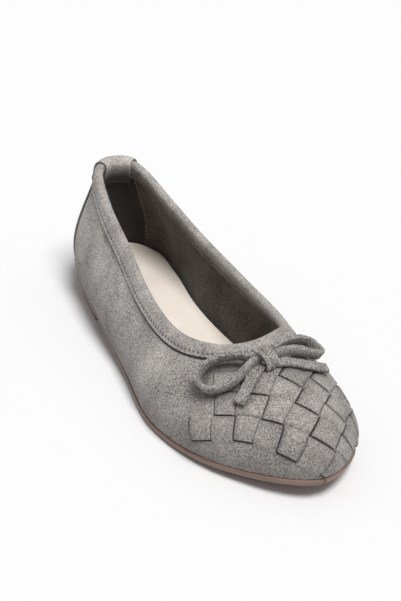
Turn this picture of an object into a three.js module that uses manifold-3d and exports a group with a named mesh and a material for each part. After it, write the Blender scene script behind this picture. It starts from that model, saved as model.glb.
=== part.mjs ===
// Ballet flat, right shoe: hollow suede upper with a woven toe, folded collar binding, back strip and bow,
// leather insole, thin outsole and low stacked heel. Sizes are in millimetres.
// +X points to the toe, +Y to the medial side and +Z up. The origin is the middle of the heel's tread face.

import * as THREE from 'three';
import { mergeVertices } from 'three/addons/utils/BufferGeometryUtils.js';
import Module from 'manifold-3d';

const wasm = await Module();
wasm.setup();

// Driving sizes of the last
const LENGTH = 241;
const HEEL_WIDTH = 51;
const BALL_WIDTH = 84;
const BACK_HEIGHT = 65.5;
const SIDE_HEIGHT = 40;
const THROAT_HEIGHT = 47;
const THROAT_REACH = 178;
const COLLAR_WIDTH = 52;
const WALL_SWELL = 5;

// Driving sizes of the bottom
const OUTSOLE_THICKNESS = 3.5;
const OUTSOLE_MARGIN = 0.8;
const OUTSOLE_BEVEL = 1.6;
const HEEL_BLOCK_HEIGHT = 7.4;
const HEEL_BLOCK_LENGTH = 59;
const HEEL_BLOCK_TAPER = 2;
const TOE_SPRING = 8;
const INSOLE_THICKNESS = 2;
const INSOLE_CUP = 1.2;
const INSOLE_CLEARANCE = 1;
const GAP = 0.3;

// Driving sizes of the upper's wall, its binding and its back strip
const UPPER_WALL = 2;
const BINDING_WIDTH = 7;
const BINDING_FOLD = 7.5;
const BINDING_FLANGE = 1;
const BINDING_ROLL = 1;
const BACK_STRIP_WIDTH = 45;
const BACK_STRIP_THICKNESS = 1;
const BACK_STRIP_FOLD = 12;

// Driving sizes of the weave and the bow
const WEAVE_RAISE = 1.1;
const WEAVE_SINK = 0.8;
const WEAVE_SLIT = 0.5;
const BOW_REACH = 28;
const BOW_BAND_WIDTH = 5;
const BOW_BAND_THICKNESS = 2.4;
const BOW_TAIL_LENGTH = 24;
const BOW_TAIL_THICKNESS = 2;
const KNOT_WIDTH = 8;
const KNOT_LENGTH = 9;
const KNOT_HEIGHT = 8;
const KNOT_SETBACK = 14.5;

// Fineness of the facets
const ROUND_STEPS = 72;
const WALL_STEPS = 8;
const LINING_STEPS = 5;
const PLATE_STEPS = 30;
const CURVE_SAMPLES = 200;
const SHORTEST_EDGE = 0.03;
const SAME_PLACE = 1e-4;

// Heights that follow from the bottom's sizes
const BALL_SEAT = OUTSOLE_THICKNESS + GAP;
const HEEL_SEAT = HEEL_BLOCK_HEIGHT + GAP + OUTSOLE_THICKNESS + GAP;
const HEEL_TREAD_CENTRE = HEEL_BLOCK_LENGTH / 2;

// Sections of the upper, from the heel's back along the lateral side to the toe and back on the medial side.
// foot: place of the sole edge, share of LENGTH. side: its place across, share of width.
// rim: place of the collar edge, share of THROAT_REACH. rimSide: across, share of COLLAR_WIDTH.
// top: height of the collar edge. rise and reach: pull of the wall at its foot and its rim, shares of top.
// swell: lean outwards at the foot, share of WALL_SWELL. drop: slope of the wall at its rim, degrees.
const SECTIONS = [
  {
    name: 'heel back', foot: 0, side: 0, width: HEEL_WIDTH,
    rim: 0.034, rimSide: 0, top: BACK_HEIGHT, rise: 0.336, swell: 1, reach: 0.305, drop: 82,
  },
  {
    name: 'heel corner, lateral', foot: 0.029, side: -0.35, width: HEEL_WIDTH,
    rim: 0.047, rimSide: -0.158, top: 0.997 * BACK_HEIGHT, rise: 0.323, swell: 1.1, reach: 0.292, drop: 81,
  },
  {
    name: 'heel, lateral', foot: 0.091, side: -0.52, width: HEEL_WIDTH,
    rim: 0.087, rimSide: -0.27, top: 0.982 * BACK_HEIGHT, rise: 0.31, swell: 1.2, reach: 0.28, drop: 80,
  },
  {
    name: 'quarter, lateral', foot: 0.195, side: -0.618, width: HEEL_WIDTH,
    rim: 0.225, rimSide: -0.365, top: 0.875 * BACK_HEIGHT, rise: 0.31, swell: 1, reach: 0.26, drop: 75,
  },
  {
    name: 'waist, lateral', foot: 0.332, side: -0.417, width: BALL_WIDTH,
    rim: 0.404, rimSide: -0.412, top: 0.753 * BACK_HEIGHT, rise: 0.3, swell: 0.8, reach: 0.26, drop: 68,
  },
  {
    name: 'arch, lateral', foot: 0.506, side: -0.458, width: BALL_WIDTH,
    rim: 0.618, rimSide: -0.482, top: 1.02 * SIDE_HEIGHT, rise: 0.333, swell: 0.8, reach: 0.31, drop: 60,
  },
  {
    name: 'ball, lateral', foot: 0.689, side: -0.512, width: BALL_WIDTH,
    rim: 0.803, rimSide: -0.468, top: 0.941 * SIDE_HEIGHT, rise: 0.395, swell: 0.8, reach: 0.37, drop: 45,
  },
  {
    name: 'toe, lateral', foot: 0.8755, side: -0.333, width: BALL_WIDTH,
    rim: 0.9415, rimSide: -0.304, top: 0.883 * THROAT_HEIGHT, rise: 0.452, swell: 1, reach: 0.524, drop: 25,
  },
  {
    name: 'toe tip', foot: 1, side: 0.077, width: BALL_WIDTH,
    rim: 1.0035, rimSide: 0, top: 0.99 * THROAT_HEIGHT, rise: 0.426, swell: 0.8, reach: 0.681, drop: 12,
  },
  {
    name: 'toe, medial', foot: 0.934, side: 0.357, width: BALL_WIDTH,
    rim: 0.9695, rimSide: 0.298, top: 0.977 * THROAT_HEIGHT, rise: 0.413, swell: 1, reach: 0.478, drop: 25,
  },
  {
    name: 'ball, medial', foot: 0.714, side: 0.488, width: BALL_WIDTH,
    rim: 0.888, rimSide: 0.49, top: 1.075 * SIDE_HEIGHT, rise: 0.372, swell: 0.8, reach: 0.326, drop: 45,
  },
  {
    name: 'arch, medial', foot: 0.498, side: 0.304, width: BALL_WIDTH,
    rim: 0.629, rimSide: 0.52, top: 1.052 * SIDE_HEIGHT, rise: 0.353, swell: 1, reach: 0.306, drop: 70,
  },
  {
    name: 'waist, medial', foot: 0.332, side: 0.244, width: BALL_WIDTH,
    rim: 0.393, rimSide: 0.451, top: 0.74 * BACK_HEIGHT, rise: 0.327, swell: 1, reach: 0.265, drop: 76,
  },
  {
    name: 'quarter, medial', foot: 0.195, side: 0.461, width: HEEL_WIDTH,
    rim: 0.225, rimSide: 0.367, top: 0.858 * BACK_HEIGHT, rise: 0.319, swell: 1, reach: 0.265, drop: 78,
  },
  {
    name: 'heel, medial', foot: 0.091, side: 0.471, width: HEEL_WIDTH,
    rim: 0.093, rimSide: 0.256, top: 0.966 * BACK_HEIGHT, rise: 0.315, swell: 1.2, reach: 0.283, drop: 80,
  },
  {
    name: 'heel corner, medial', foot: 0.029, side: 0.325, width: HEEL_WIDTH,
    rim: 0.05, rimSide: 0.158, top: 0.991 * BACK_HEIGHT, rise: 0.325, swell: 1.1, reach: 0.293, drop: 81,
  },
];

// The bottom is level under the heel and the ball, dips between them and springs up at the toe.
// Each place is a share of LENGTH.
const HEEL_SEAT_END = 0.22;
const BALL_START = 0.58;
const BALL_END = 0.68;

// The weave's strips lie between planes turned about two axes through a centre inside the toe, in degrees.
// Strips of the vamp run between the columns' edges, loose strips between a row's high and low edge.
// from: the row's first column. reach: where its last column ends above the sole edge.
// fan: how far a column's edge turns outwards over a fanned row.
const COLUMN_EDGES = [
  { angle: -60, fan: -4.8 },
  { angle: -41.5, fan: -4.4 },
  { angle: -22.5, fan: -1.7 },
  { angle: 1.5, fan: -1 },
  { angle: 20, fan: 4.8 },
  { angle: 38.3, fan: 5 },
  { angle: 57, fan: 2.5 },
];
const WEAVE_ROWS = [
  { high: 56.5, low: 38, from: 0, reach: 64, isFanned: true },
  { high: 38, low: 19.5, from: 1, reach: 71, isFanned: false },
  { high: 19.5, low: 1.5, from: 1, reach: 74, isFanned: false },
  { high: 1.5, low: -16.5, from: 2, reach: 75, isFanned: false },
  { high: -16.5, low: -35, from: 3, reach: 74, isFanned: false },
  { high: -35, low: -54, from: 4, reach: 71, isFanned: false },
];
const WEAVE_CENTRE = { foot: 0.826, side: 0.012, height: 0.064 };
const PLANE_SHARE = 0.6;
const STRIP_ARCH = [0.25, 0.85, 1, 0.85, 0.25];
const STRIP_CUTS = 2;

// Routes of the bow's bands from the knot's middle. ahead and aside are shares of BOW_REACH for a loop and of
// BOW_TAIL_LENGTH for a tail, lift is a share of BOW_BAND_WIDTH above the band's rest on the vamp.
const LATERAL_LOOP = [
  { ahead: -0.11, aside: -0.17, lift: 0.46 },
  { ahead: -0.25, aside: -0.28, lift: 0.38 },
  { ahead: -0.39, aside: -0.4, lift: 0.28 },
  { ahead: -0.5, aside: -0.54, lift: 0.18 },
  { ahead: -0.55, aside: -0.69, lift: 0.15 },
  { ahead: -0.53, aside: -0.81, lift: 0.15 },
  { ahead: -0.44, aside: -0.89, lift: 0.15 },
  { ahead: -0.3, aside: -0.9, lift: 0.15 },
  { ahead: -0.13, aside: -0.84, lift: 0.15 },
  { ahead: 0, aside: -0.7, lift: 0.15 },
  { ahead: 0.06, aside: -0.56, lift: 0.15 },
  { ahead: 0.06, aside: -0.41, lift: 0.22 },
  { ahead: 0.03, aside: -0.28, lift: 0.36 },
  { ahead: 0, aside: -0.17, lift: 0.46 },
];
const MEDIAL_LOOP = [
  { ahead: -0.12, aside: 0.17, lift: 0.46 },
  { ahead: -0.22, aside: 0.3, lift: 0.3 },
  { ahead: -0.36, aside: 0.53, lift: 0.1 },
  { ahead: -0.44, aside: 0.77, lift: 0 },
  { ahead: -0.43, aside: 0.96, lift: 0 },
  { ahead: -0.33, aside: 1.06, lift: 0 },
  { ahead: -0.21, aside: 1.03, lift: 0 },
  { ahead: -0.14, aside: 0.88, lift: 0 },
  { ahead: -0.13, aside: 0.68, lift: 0.04 },
  { ahead: -0.1, aside: 0.44, lift: 0.36 },
  { ahead: -0.01, aside: 0.17, lift: 0.46 },
];
const LATERAL_TAIL = [
  { ahead: 0.1, aside: -0.2, lift: 0 },
  { ahead: 0.15, aside: -0.28, lift: 0 },
  { ahead: 0.23, aside: -0.38, lift: 0 },
  { ahead: 0.32, aside: -0.49, lift: 0 },
  { ahead: 0.42, aside: -0.64, lift: 0 },
];
const MEDIAL_TAIL = [
  { ahead: 0.08, aside: 0.2, lift: 0 },
  { ahead: 0.08, aside: 0.43, lift: 0 },
  { ahead: 0.1, aside: 0.68, lift: 0 },
  { ahead: 0.11, aside: 0.93, lift: 0 },
  { ahead: 0.1, aside: 1.18, lift: 0 },
];

// Small helpers
const clamp = (value, low, high) => Math.min(Math.max(value, low), high);
const wrap = (value) => value - Math.floor(value);
const mix = (a, b, share) => a + (b - a) * share;
const degrees = (radians) => (radians * 180) / Math.PI;
const radians = (angle) => (angle * Math.PI) / 180;

function smooth(value) {
  const t = clamp(value, 0, 1);
  return t * t * (3 - 2 * t);
}

// Height of the sole edge and of the foot bed's underside at a place along the shoe.
function bottomHeight(x) {
  const place = x / LENGTH;
  const dip = smooth((place - HEEL_SEAT_END) / (BALL_START - HEEL_SEAT_END));
  const spring = Math.max((place - BALL_END) / (1 - BALL_END), 0);
  return mix(HEEL_SEAT, BALL_SEAT, dip) + TOE_SPRING * spring * spring;
}

// Closed smooth curve through one column of the table, each section at its own share of the round.
const FOOT_POINTS = SECTIONS.map((section) => [section.foot * LENGTH, section.side * section.width]);

function sectionShares() {
  const shares = [0];
  FOOT_POINTS.forEach(([x, y], index) => {
    const [nextX, nextY] = FOOT_POINTS[(index + 1) % FOOT_POINTS.length];
    shares.push(shares[index] + Math.hypot(nextX - x, nextY - y));
  });
  const round = shares[shares.length - 1];
  return shares.map((share) => share / round);
}

const SHARES = sectionShares();
const shareOf = (name) => SHARES[SECTIONS.findIndex((section) => section.name === name)];
const TIP_SHARE = shareOf('toe tip');

function slopeAt(values, index) {
  const count = values.length;
  const before = (index - 1 + count) % count;
  const spanBefore = wrap(SHARES[index] - SHARES[before]);
  const spanAfter = SHARES[index + 1] - SHARES[index];
  const riseBefore = (values[index] - values[before]) / spanBefore;
  const riseAfter = (values[(index + 1) % count] - values[index]) / spanAfter;
  return (spanAfter * riseBefore + spanBefore * riseAfter) / (spanBefore + spanAfter);
}

function roundCurve(values) {
  const slopes = values.map((value, index) => slopeAt(values, index));
  return (share) => {
    const place = wrap(share);
    let index = 0;
    while (SHARES[index + 1] <= place) {
      index += 1;
    }
    const next = (index + 1) % values.length;
    const span = SHARES[index + 1] - SHARES[index];
    const t = (place - SHARES[index]) / span;
    const ease = t * t * (3 - 2 * t);
    const leave = t * (1 - t) * (1 - t) * span * slopes[index];
    const arrive = t * t * (t - 1) * span * slopes[next];
    return mix(values[index], values[next], ease) + leave + arrive;
  };
}

const footX = roundCurve(FOOT_POINTS.map((point) => point[0]));
const footY = roundCurve(FOOT_POINTS.map((point) => point[1]));
const rimX = roundCurve(SECTIONS.map((section) => section.rim * THROAT_REACH));
const rimY = roundCurve(SECTIONS.map((section) => section.rimSide * COLLAR_WIDTH));
const rimZ = roundCurve(SECTIONS.map((section) => section.top));
const footPull = roundCurve(SECTIONS.map((section) => section.rise * section.top));
const footLean = roundCurve(SECTIONS.map((section) => section.swell * WALL_SWELL));
const rimPull = roundCurve(SECTIONS.map((section) => section.reach * section.top));
const rimDrop = roundCurve(SECTIONS.map((section) => section.drop));

// Step of a share over which a direction is read.
const NEAR = 1e-3;

function outward(u) {
  const alongX = footX(u + NEAR) - footX(u - NEAR);
  const alongY = footY(u + NEAR) - footY(u - NEAR);
  return new THREE.Vector3(alongY, -alongX, 0).normalize();
}

// The wall's rim leaves the collar away from the foot, and near a steep wall it follows the sole edge.
const STEEP_WALL = { least: 4, span: 14 };

function wallCurve(u) {
  const foot = new THREE.Vector3(footX(u), footY(u), bottomHeight(footX(u)));
  const rim = new THREE.Vector3(rimX(u), rimY(u), rimZ(u));
  const out = outward(u);
  const away = new THREE.Vector3(foot.x - rim.x, foot.y - rim.y, 0);
  const blend = clamp((away.length() - STEEP_WALL.least) / STEEP_WALL.span, 0, 1);
  away.normalize().multiplyScalar(blend).addScaledVector(out, 1 - blend).normalize();
  const low = foot.clone().addScaledVector(out, footLean(u));
  low.z += footPull(u);
  const slope = radians(rimDrop(u));
  const high = rim.clone().addScaledVector(away, Math.cos(slope) * rimPull(u));
  high.z -= Math.sin(slope) * rimPull(u);
  return new THREE.CubicBezierCurve3(foot, low, high, rim);
}

const wallPoint = (u, v) => wallCurve(u).getPoint(v);

// Outward direction of the wall: level at the sole edge, square to the surface a little above it.
const LEVEL_SHARE = 0.125;

function wallNormal(u, v) {
  const low = Math.max(v - NEAR, 0);
  const high = Math.min(v + NEAR, 1);
  const along = wallPoint(u + NEAR, v).sub(wallPoint(u - NEAR, v));
  const up = wallPoint(u, high).sub(wallPoint(u, low));
  const normal = along.cross(up).normalize();
  normal.z *= smooth(v / LEVEL_SHARE);
  return normal.normalize();
}

const offWall = (u, v, height) => wallPoint(u, v).addScaledVector(wallNormal(u, v), height);

// Share of the wall's height at a distance below the collar edge.
function shareBelowRim(u, distance) {
  const curve = wallCurve(u);
  let share = 1;
  let walked = 0;
  let last = curve.getPoint(1);
  while (walked < distance && share > 0) {
    const next = Math.max(share - 1 / CURVE_SAMPLES, 0);
    const point = curve.getPoint(next);
    const length = point.distanceTo(last);
    if (walked + length >= distance) {
      return mix(share, next, (distance - walked) / length);
    }
    walked += length;
    share = next;
    last = point;
  }
  return share;
}

// First share of a stretch where something wanted comes true.
const HALVINGS = 50;

function shareWhere(wanted, from, to) {
  let low = from;
  let high = to;
  for (let step = 0; step < HALVINGS; step += 1) {
    const middle = (low + high) / 2;
    if (wanted(middle)) {
      high = middle;
    } else {
      low = middle;
    }
  }
  return (low + high) / 2;
}

// Places round the shoe where every shell has its sections, with one on each edge of the back strip.
const STRIP_SHARES = { lateral: 0.5, medial: 0.44 };
const STRIP_LATERAL = shareWhere(
  (u) => footY(u) < -STRIP_SHARES.lateral * BACK_STRIP_WIDTH,
  0,
  shareOf('heel, lateral'),
);
const STRIP_MEDIAL = shareWhere(
  (u) => footY(-u) > STRIP_SHARES.medial * BACK_STRIP_WIDTH,
  0,
  1 - shareOf('heel, medial'),
);

function roundPlaces() {
  const places = [];
  for (let index = 0; index < ROUND_STEPS; index += 1) {
    places.push(index / ROUND_STEPS);
  }
  [STRIP_LATERAL, 1 - STRIP_MEDIAL].forEach((edge) => {
    places[Math.round(edge * ROUND_STEPS)] = edge;
  });
  return places;
}

const PLACES = roundPlaces();

// Solids from grids of points
function geometryOf(points, triangles) {
  const raw = new THREE.BufferGeometry();
  raw.setAttribute('position', new THREE.Float32BufferAttribute(points.flatMap((p) => [p.x, p.y, p.z]), 3));
  raw.setIndex(triangles.flat());
  return cleaned(raw);
}

function signedVolume(geometry) {
  const position = geometry.getAttribute('position');
  const index = geometry.getIndex().array;
  const corner = [new THREE.Vector3(), new THREE.Vector3(), new THREE.Vector3()];
  let volume = 0;
  for (let at = 0; at < index.length; at += 3) {
    corner.forEach((vector, side) => vector.fromBufferAttribute(position, index[at + side]));
    volume += corner[0].dot(corner[1].cross(corner[2])) / 6;
  }
  return volume;
}

// One closed body: equal corners merged, empty triangles dropped, faces pointing out.
function cleaned(raw) {
  const merged = mergeVertices(raw, SAME_PLACE);
  const index = merged.getIndex().array;
  const kept = [];
  for (let at = 0; at < index.length; at += 3) {
    const [a, b, c] = [index[at], index[at + 1], index[at + 2]];
    if (a !== b && b !== c && c !== a) {
      kept.push([a, b, c]);
    }
  }
  merged.setIndex(kept.flat());
  if (signedVolume(merged) < 0) {
    merged.setIndex(kept.flatMap(([a, b, c]) => [a, c, b]));
  }
  return merged;
}

// Solid between a top and a bottom grid with the same rows.
function slab(top, bottom) {
  const rows = top.length;
  const columns = top[0].length;
  const points = [...top.flat(), ...bottom.flat()];
  const under = rows * columns;
  const at = (row, column) => row * columns + column;
  const triangles = [];
  const quad = (a, b, c, d) => triangles.push([a, b, c], [a, c, d]);
  for (let row = 0; row < rows - 1; row += 1) {
    for (let column = 0; column < columns - 1; column += 1) {
      const [a, b] = [at(row, column), at(row + 1, column)];
      const [c, d] = [at(row + 1, column + 1), at(row, column + 1)];
      quad(a, b, c, d);
      quad(under + d, under + c, under + b, under + a);
    }
    const [near, next] = [at(row, 0), at(row + 1, 0)];
    quad(near, under + near, under + next, next);
    const [far, after] = [at(row, columns - 1), at(row + 1, columns - 1)];
    quad(far, after, under + after, under + far);
  }
  for (let column = 0; column < columns - 1; column += 1) {
    const [near, next] = [at(0, column), at(0, column + 1)];
    quad(near, next, under + next, under + near);
    const [far, after] = [at(rows - 1, column), at(rows - 1, column + 1)];
    quad(far, under + far, under + after, after);
  }
  return geometryOf(points, triangles);
}

// Tube of closed sections, joined into a ring or capped at both ends.
function sectionTube(sections, isRing) {
  const count = sections.length;
  const size = sections[0].length;
  const points = sections.flat();
  const triangles = [];
  const last = isRing ? count : count - 1;
  for (let section = 0; section < last; section += 1) {
    for (let corner = 0; corner < size; corner += 1) {
      const a = section * size + corner;
      const b = section * size + ((corner + 1) % size);
      const c = ((section + 1) % count) * size + ((corner + 1) % size);
      const d = ((section + 1) % count) * size + corner;
      triangles.push([a, b, c], [a, c, d]);
    }
  }
  if (!isRing) {
    [0, count - 1].forEach((section) => {
      const middle = new THREE.Vector3();
      sections[section].forEach((point) => middle.addScaledVector(point, 1 / size));
      points.push(middle);
      for (let corner = 0; corner < size; corner += 1) {
        const a = section * size + corner;
        const b = section * size + ((corner + 1) % size);
        triangles.push(section === 0 ? [b, a, points.length - 1] : [a, b, points.length - 1]);
      }
    });
  }
  return geometryOf(points, triangles);
}

function toManifold(geometry) {
  const mesh = new wasm.Mesh({
    numProp: 3,
    vertProperties: new Float32Array(geometry.getAttribute('position').array),
    triVerts: new Uint32Array(geometry.getIndex().array),
  });
  return new wasm.Manifold(mesh);
}

function fromManifold(solid) {
  const mesh = solid.getMesh();
  const corners = [];
  for (let at = 0; at < mesh.vertProperties.length; at += 3) {
    corners.push(new THREE.Vector3().fromArray(mesh.vertProperties, at));
  }
  let triangles = [];
  for (let at = 0; at < mesh.triVerts.length; at += 3) {
    triangles.push([...mesh.triVerts.slice(at, at + 3)]);
  }
  let count = 0;
  while (count !== triangles.length) {
    count = triangles.length;
    triangles = withoutShortEdges(corners, triangles);
  }
  return geometryOf(corners, triangles);
}

// Joins leave edges shorter than a hair: each is closed up where just the two faces beside it vanish.
function withoutShortEdges(corners, triangles) {
  const rings = corners.map(() => new Set());
  triangles.forEach((triangle) => triangle.forEach((corner) => {
    triangle.forEach((other) => rings[corner].add(other));
  }));
  const goesTo = corners.map((corner, index) => index);
  const isTouched = corners.map(() => false);
  triangles.forEach((triangle) => triangle.forEach((start, side) => {
    const end = triangle[(side + 1) % 3];
    const isShort = corners[start].distanceTo(corners[end]) < SHORTEST_EDGE;
    const shared = [...rings[start]].filter((corner) => rings[end].has(corner));
    const around = [...rings[start], ...rings[end]];
    if (isShort && shared.length === 4 && !around.some((corner) => isTouched[corner])) {
      goesTo[end] = start;
      around.forEach((corner) => {
        isTouched[corner] = true;
      });
    }
  }));
  const moved = triangles.map((triangle) => triangle.map((corner) => goesTo[corner]));
  return moved.filter(([a, b, c]) => a !== b && b !== c && c !== a);
}

// Upper: wall of even thickness, open at the collar and underneath.
function liningPoint(u, v) {
  const point = offWall(u, v, -UPPER_WALL);
  if (v === 0) {
    point.z = bottomHeight(point.x);
  }
  return point;
}

function wallShares(u, steps, belowRim) {
  const edge = shareBelowRim(u, belowRim);
  const shares = [];
  for (let step = 0; step <= steps; step += 1) {
    shares.push((edge * step) / steps);
  }
  return [...shares, 1];
}

function upperWall() {
  const sections = PLACES.map((u) => {
    const outside = wallShares(u, WALL_STEPS, BINDING_WIDTH).map((v) => wallPoint(u, v));
    const inside = wallShares(u, LINING_STEPS, BINDING_FOLD).map((v) => liningPoint(u, v));
    return [...outside, ...inside.reverse()];
  });
  return sectionTube(sections, true);
}

// Angles of the two planes through a point of the wall, as seen from the weave's centre.
function weaveAngles(point) {
  const centre = new THREE.Vector3(
    WEAVE_CENTRE.foot * LENGTH,
    WEAVE_CENTRE.side * BALL_WIDTH,
    WEAVE_CENTRE.height * THROAT_HEIGHT,
  );
  const ray = point.clone().sub(centre);
  const reach = ray.length();
  return [ray.x + ray.y, ray.x - ray.y].map((across) => {
    const lean = across / Math.SQRT2;
    const plane = degrees(Math.atan2(lean, ray.z));
    const tilt = degrees(Math.asin(lean / reach));
    return mix(tilt, plane, PLANE_SHARE);
  });
}

function gridOver(from, to, steps, read) {
  const samples = [];
  for (let round = 0; round <= steps; round += 1) {
    for (let rise = 0; rise <= steps; rise += 1) {
      const u = mix(from, to, round / steps);
      const v = rise / steps;
      samples.push({ u, v, value: read(wallPoint(u, v)) });
    }
  }
  return samples;
}

// Place on the wall where two readings meet their target, by short steps from the nearest of a coarse grid.
const SEARCH_ROUNDS = 8;
const LONGEST_STEP = { round: 0.02, rise: 0.1 };

function solveOnWall(samples, read, target) {
  const miss = (value) => Math.hypot(value[0] - target[0], value[1] - target[1]);
  let best = samples[0];
  samples.forEach((sample) => {
    if (miss(sample.value) < miss(best.value)) {
      best = sample;
    }
  });
  let { u, v } = best;
  for (let round = 0; round < SEARCH_ROUNDS; round += 1) {
    const here = read(wallPoint(u, v));
    const alongU = read(wallPoint(u + NEAR, v)).map((value, side) => (value - here[side]) / NEAR);
    const alongV = read(wallPoint(u, v + NEAR)).map((value, side) => (value - here[side]) / NEAR);
    const area = alongU[0] * alongV[1] - alongU[1] * alongV[0];
    const [missU, missV] = [target[0] - here[0], target[1] - here[1]];
    const roundStep = (missU * alongV[1] - missV * alongV[0]) / area;
    const riseStep = (alongU[0] * missV - alongU[1] * missU) / area;
    u += clamp(roundStep, -LONGEST_STEP.round, LONGEST_STEP.round);
    v = clamp(v + clamp(riseStep, -LONGEST_STEP.rise, LONGEST_STEP.rise), 0, 1);
  }
  return { u, v };
}

const FRONT_FROM = shareOf('ball, lateral');
const FRONT_TO = shareOf('ball, medial');
const SAMPLE_STEPS = 40;
const planOf = (point) => [point.x, point.y];
const WEAVE_SAMPLES = gridOver(FRONT_FROM, FRONT_TO, SAMPLE_STEPS, weaveAngles);
const PLAN_SAMPLES = gridOver(FRONT_FROM, FRONT_TO, SAMPLE_STEPS, planOf);

// One crossing of the weave: a plate sunk into the wall, arched along the strip that lies on top.
const WEAVE_FOOT_CLEARANCE = 1.2;
const WEAVE_RIM_CLEARANCE = 0.8;

function weaveTile(row, leftEdge, rightEdge, isLooseStrip) {
  const toeRadius = THROAT_HEIGHT * (1 - WEAVE_CENTRE.height);
  const slit = degrees(WEAVE_SLIT / 2 / toeRadius);
  const along = STRIP_ARCH.length - 1;
  const lowest = WEAVE_FOOT_CLEARANCE / THROAT_HEIGHT;
  const edgeAngle = (edge, rowShare) => edge.angle + (row.isFanned ? edge.fan * rowShare : 0);
  const top = [];
  const bottom = [];
  for (let step = 0; step <= along; step += 1) {
    const topRow = [];
    const bottomRow = [];
    for (let cut = 0; cut <= STRIP_CUTS; cut += 1) {
      const columnShare = isLooseStrip ? step / along : cut / STRIP_CUTS;
      const rowShare = isLooseStrip ? cut / STRIP_CUTS : step / along;
      const left = edgeAngle(leftEdge, rowShare) + slit;
      const right = edgeAngle(rightEdge, rowShare) - slit;
      const target = [mix(left, right, columnShare), mix(row.low + slit, row.high - slit, rowShare)];
      const place = solveOnWall(WEAVE_SAMPLES, weaveAngles, target);
      const highest = shareBelowRim(place.u, BINDING_WIDTH + WEAVE_RIM_CLEARANCE);
      const v = clamp(place.v, lowest, highest);
      topRow.push(offWall(place.u, v, WEAVE_RAISE * STRIP_ARCH[step]));
      bottomRow.push(offWall(place.u, v, -WEAVE_SINK));
    }
    top.push(topRow);
    bottom.push(bottomRow);
  }
  return slab(top, bottom);
}

function wovenUpper() {
  let solid = toManifold(upperWall());
  WEAVE_ROWS.forEach((row, rowIndex) => {
    const edges = [...COLUMN_EDGES, { angle: row.reach, fan: 0 }];
    for (let column = row.from; column < COLUMN_EDGES.length; column += 1) {
      const isLooseStrip = (column + rowIndex) % 2 === 0;
      solid = solid.add(toManifold(weaveTile(row, edges[column], edges[column + 1], isLooseStrip)));
    }
  });
  return fromManifold(solid);
}

// Point over the wall's edge: outside below the rim, round its top, or inside below the rim.
function overEdge(u, bend) {
  if (bend.below !== undefined) {
    const v = shareBelowRim(u, bend.below);
    const height = bend.isInside ? -UPPER_WALL - bend.height : bend.height;
    return offWall(u, v, height);
  }
  const normal = wallNormal(u, 1);
  const up = wallPoint(u, 1).sub(wallPoint(u, 1 - NEAR)).normalize();
  const middle = offWall(u, 1, -UPPER_WALL / 2);
  const radius = UPPER_WALL / 2 + bend.height;
  const angle = radians(bend.turn);
  middle.addScaledVector(normal, radius * Math.cos(angle));
  return middle.addScaledVector(up, radius * Math.sin(angle));
}

// Collar binding: a flat flange and a rounder roll outside, folded over the rim and down inside.
const FLANGE_SHARE = 0.42;
const ROLL_SHARE = 0.28;
const FOLD_THIN = 0.8;

function collarBinding() {
  const flange = GAP + BINDING_FLANGE;
  const roll = GAP + BINDING_ROLL;
  const inside = GAP + BINDING_ROLL * FOLD_THIN;
  const bends = [
    { below: BINDING_WIDTH, height: GAP },
    { below: BINDING_WIDTH, height: flange },
    { below: BINDING_WIDTH * (1 - FLANGE_SHARE), height: flange },
    { below: BINDING_WIDTH * ROLL_SHARE, height: roll },
    { turn: 0, height: roll },
    { turn: 45, height: roll },
    { turn: 90, height: roll },
    { turn: 135, height: roll },
    { turn: 180, height: roll },
    { below: BINDING_FOLD, height: inside, isInside: true },
    { below: BINDING_FOLD, height: GAP, isInside: true },
    { turn: 180, height: GAP },
    { turn: 90, height: GAP },
    { turn: 0, height: GAP },
  ];
  return sectionTube(PLACES.map((u) => bends.map((bend) => overEdge(u, bend))), true);
}

// Back strip: up the heel from the sole edge, over the binding and down inside.
const STRIP_FOOT_CLEARANCE = 0.4;
const STRIP_STEP = 2.2;

function backStrip() {
  const places = PLACES.filter((u) => u >= 1 - STRIP_MEDIAL || u <= STRIP_LATERAL);
  places.sort((a, b) => wrap(a + 0.5) - wrap(b + 0.5));
  const onFlange = GAP + BINDING_FLANGE + GAP;
  const onRoll = GAP + BINDING_ROLL + GAP;
  const onFold = GAP + BINDING_ROLL * FOLD_THIN + GAP;
  const lowestShare = STRIP_FOOT_CLEARANCE / BACK_HEIGHT;
  const heelShares = (u) => [lowestShare, ...wallShares(u, WALL_STEPS, BINDING_WIDTH).slice(1, -2)];
  const bends = [
    { below: BINDING_WIDTH + STRIP_STEP, height: GAP },
    { below: BINDING_WIDTH + GAP, height: onFlange },
    { below: BINDING_WIDTH * (1 - FLANGE_SHARE), height: onFlange },
    { below: BINDING_WIDTH * ROLL_SHARE, height: onRoll },
    { turn: 0, height: onRoll },
    { turn: 45, height: onRoll },
    { turn: 90, height: onRoll },
    { turn: 135, height: onRoll },
    { turn: 180, height: onRoll },
    { below: BINDING_FOLD + GAP, height: onFold, isInside: true },
    { below: BINDING_FOLD + STRIP_STEP, height: GAP, isInside: true },
    { below: BACK_STRIP_FOLD, height: GAP, isInside: true },
  ];
  const skin = (raise) => places.map((u) => [
    ...heelShares(u).map((v) => offWall(u, v, GAP + raise)),
    ...bends.map((bend) => overEdge(u, { ...bend, height: bend.height + raise })),
  ]);
  return slab(skin(BACK_STRIP_THICKNESS), skin(0));
}

// Plates of the bottom: rows across the shoe, from the heel's back to the toe.
const PLATE_CUTS = [0, 0.07, 0.28, 0.5, 0.72, 0.93, 1];

function plateRow(x, margin) {
  const lateral = shareWhere((u) => footX(u) > x, 0, TIP_SHARE);
  const medial = 1 - shareWhere((u) => footX(-u) > x, 0, 1 - TIP_SHARE);
  const edge = (u) => new THREE.Vector3(footX(u), footY(u), 0).addScaledVector(outward(u), margin(x));
  const near = edge(lateral);
  const far = edge(medial);
  return PLATE_CUTS.map((share) => near.clone().lerp(far, share));
}

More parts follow.
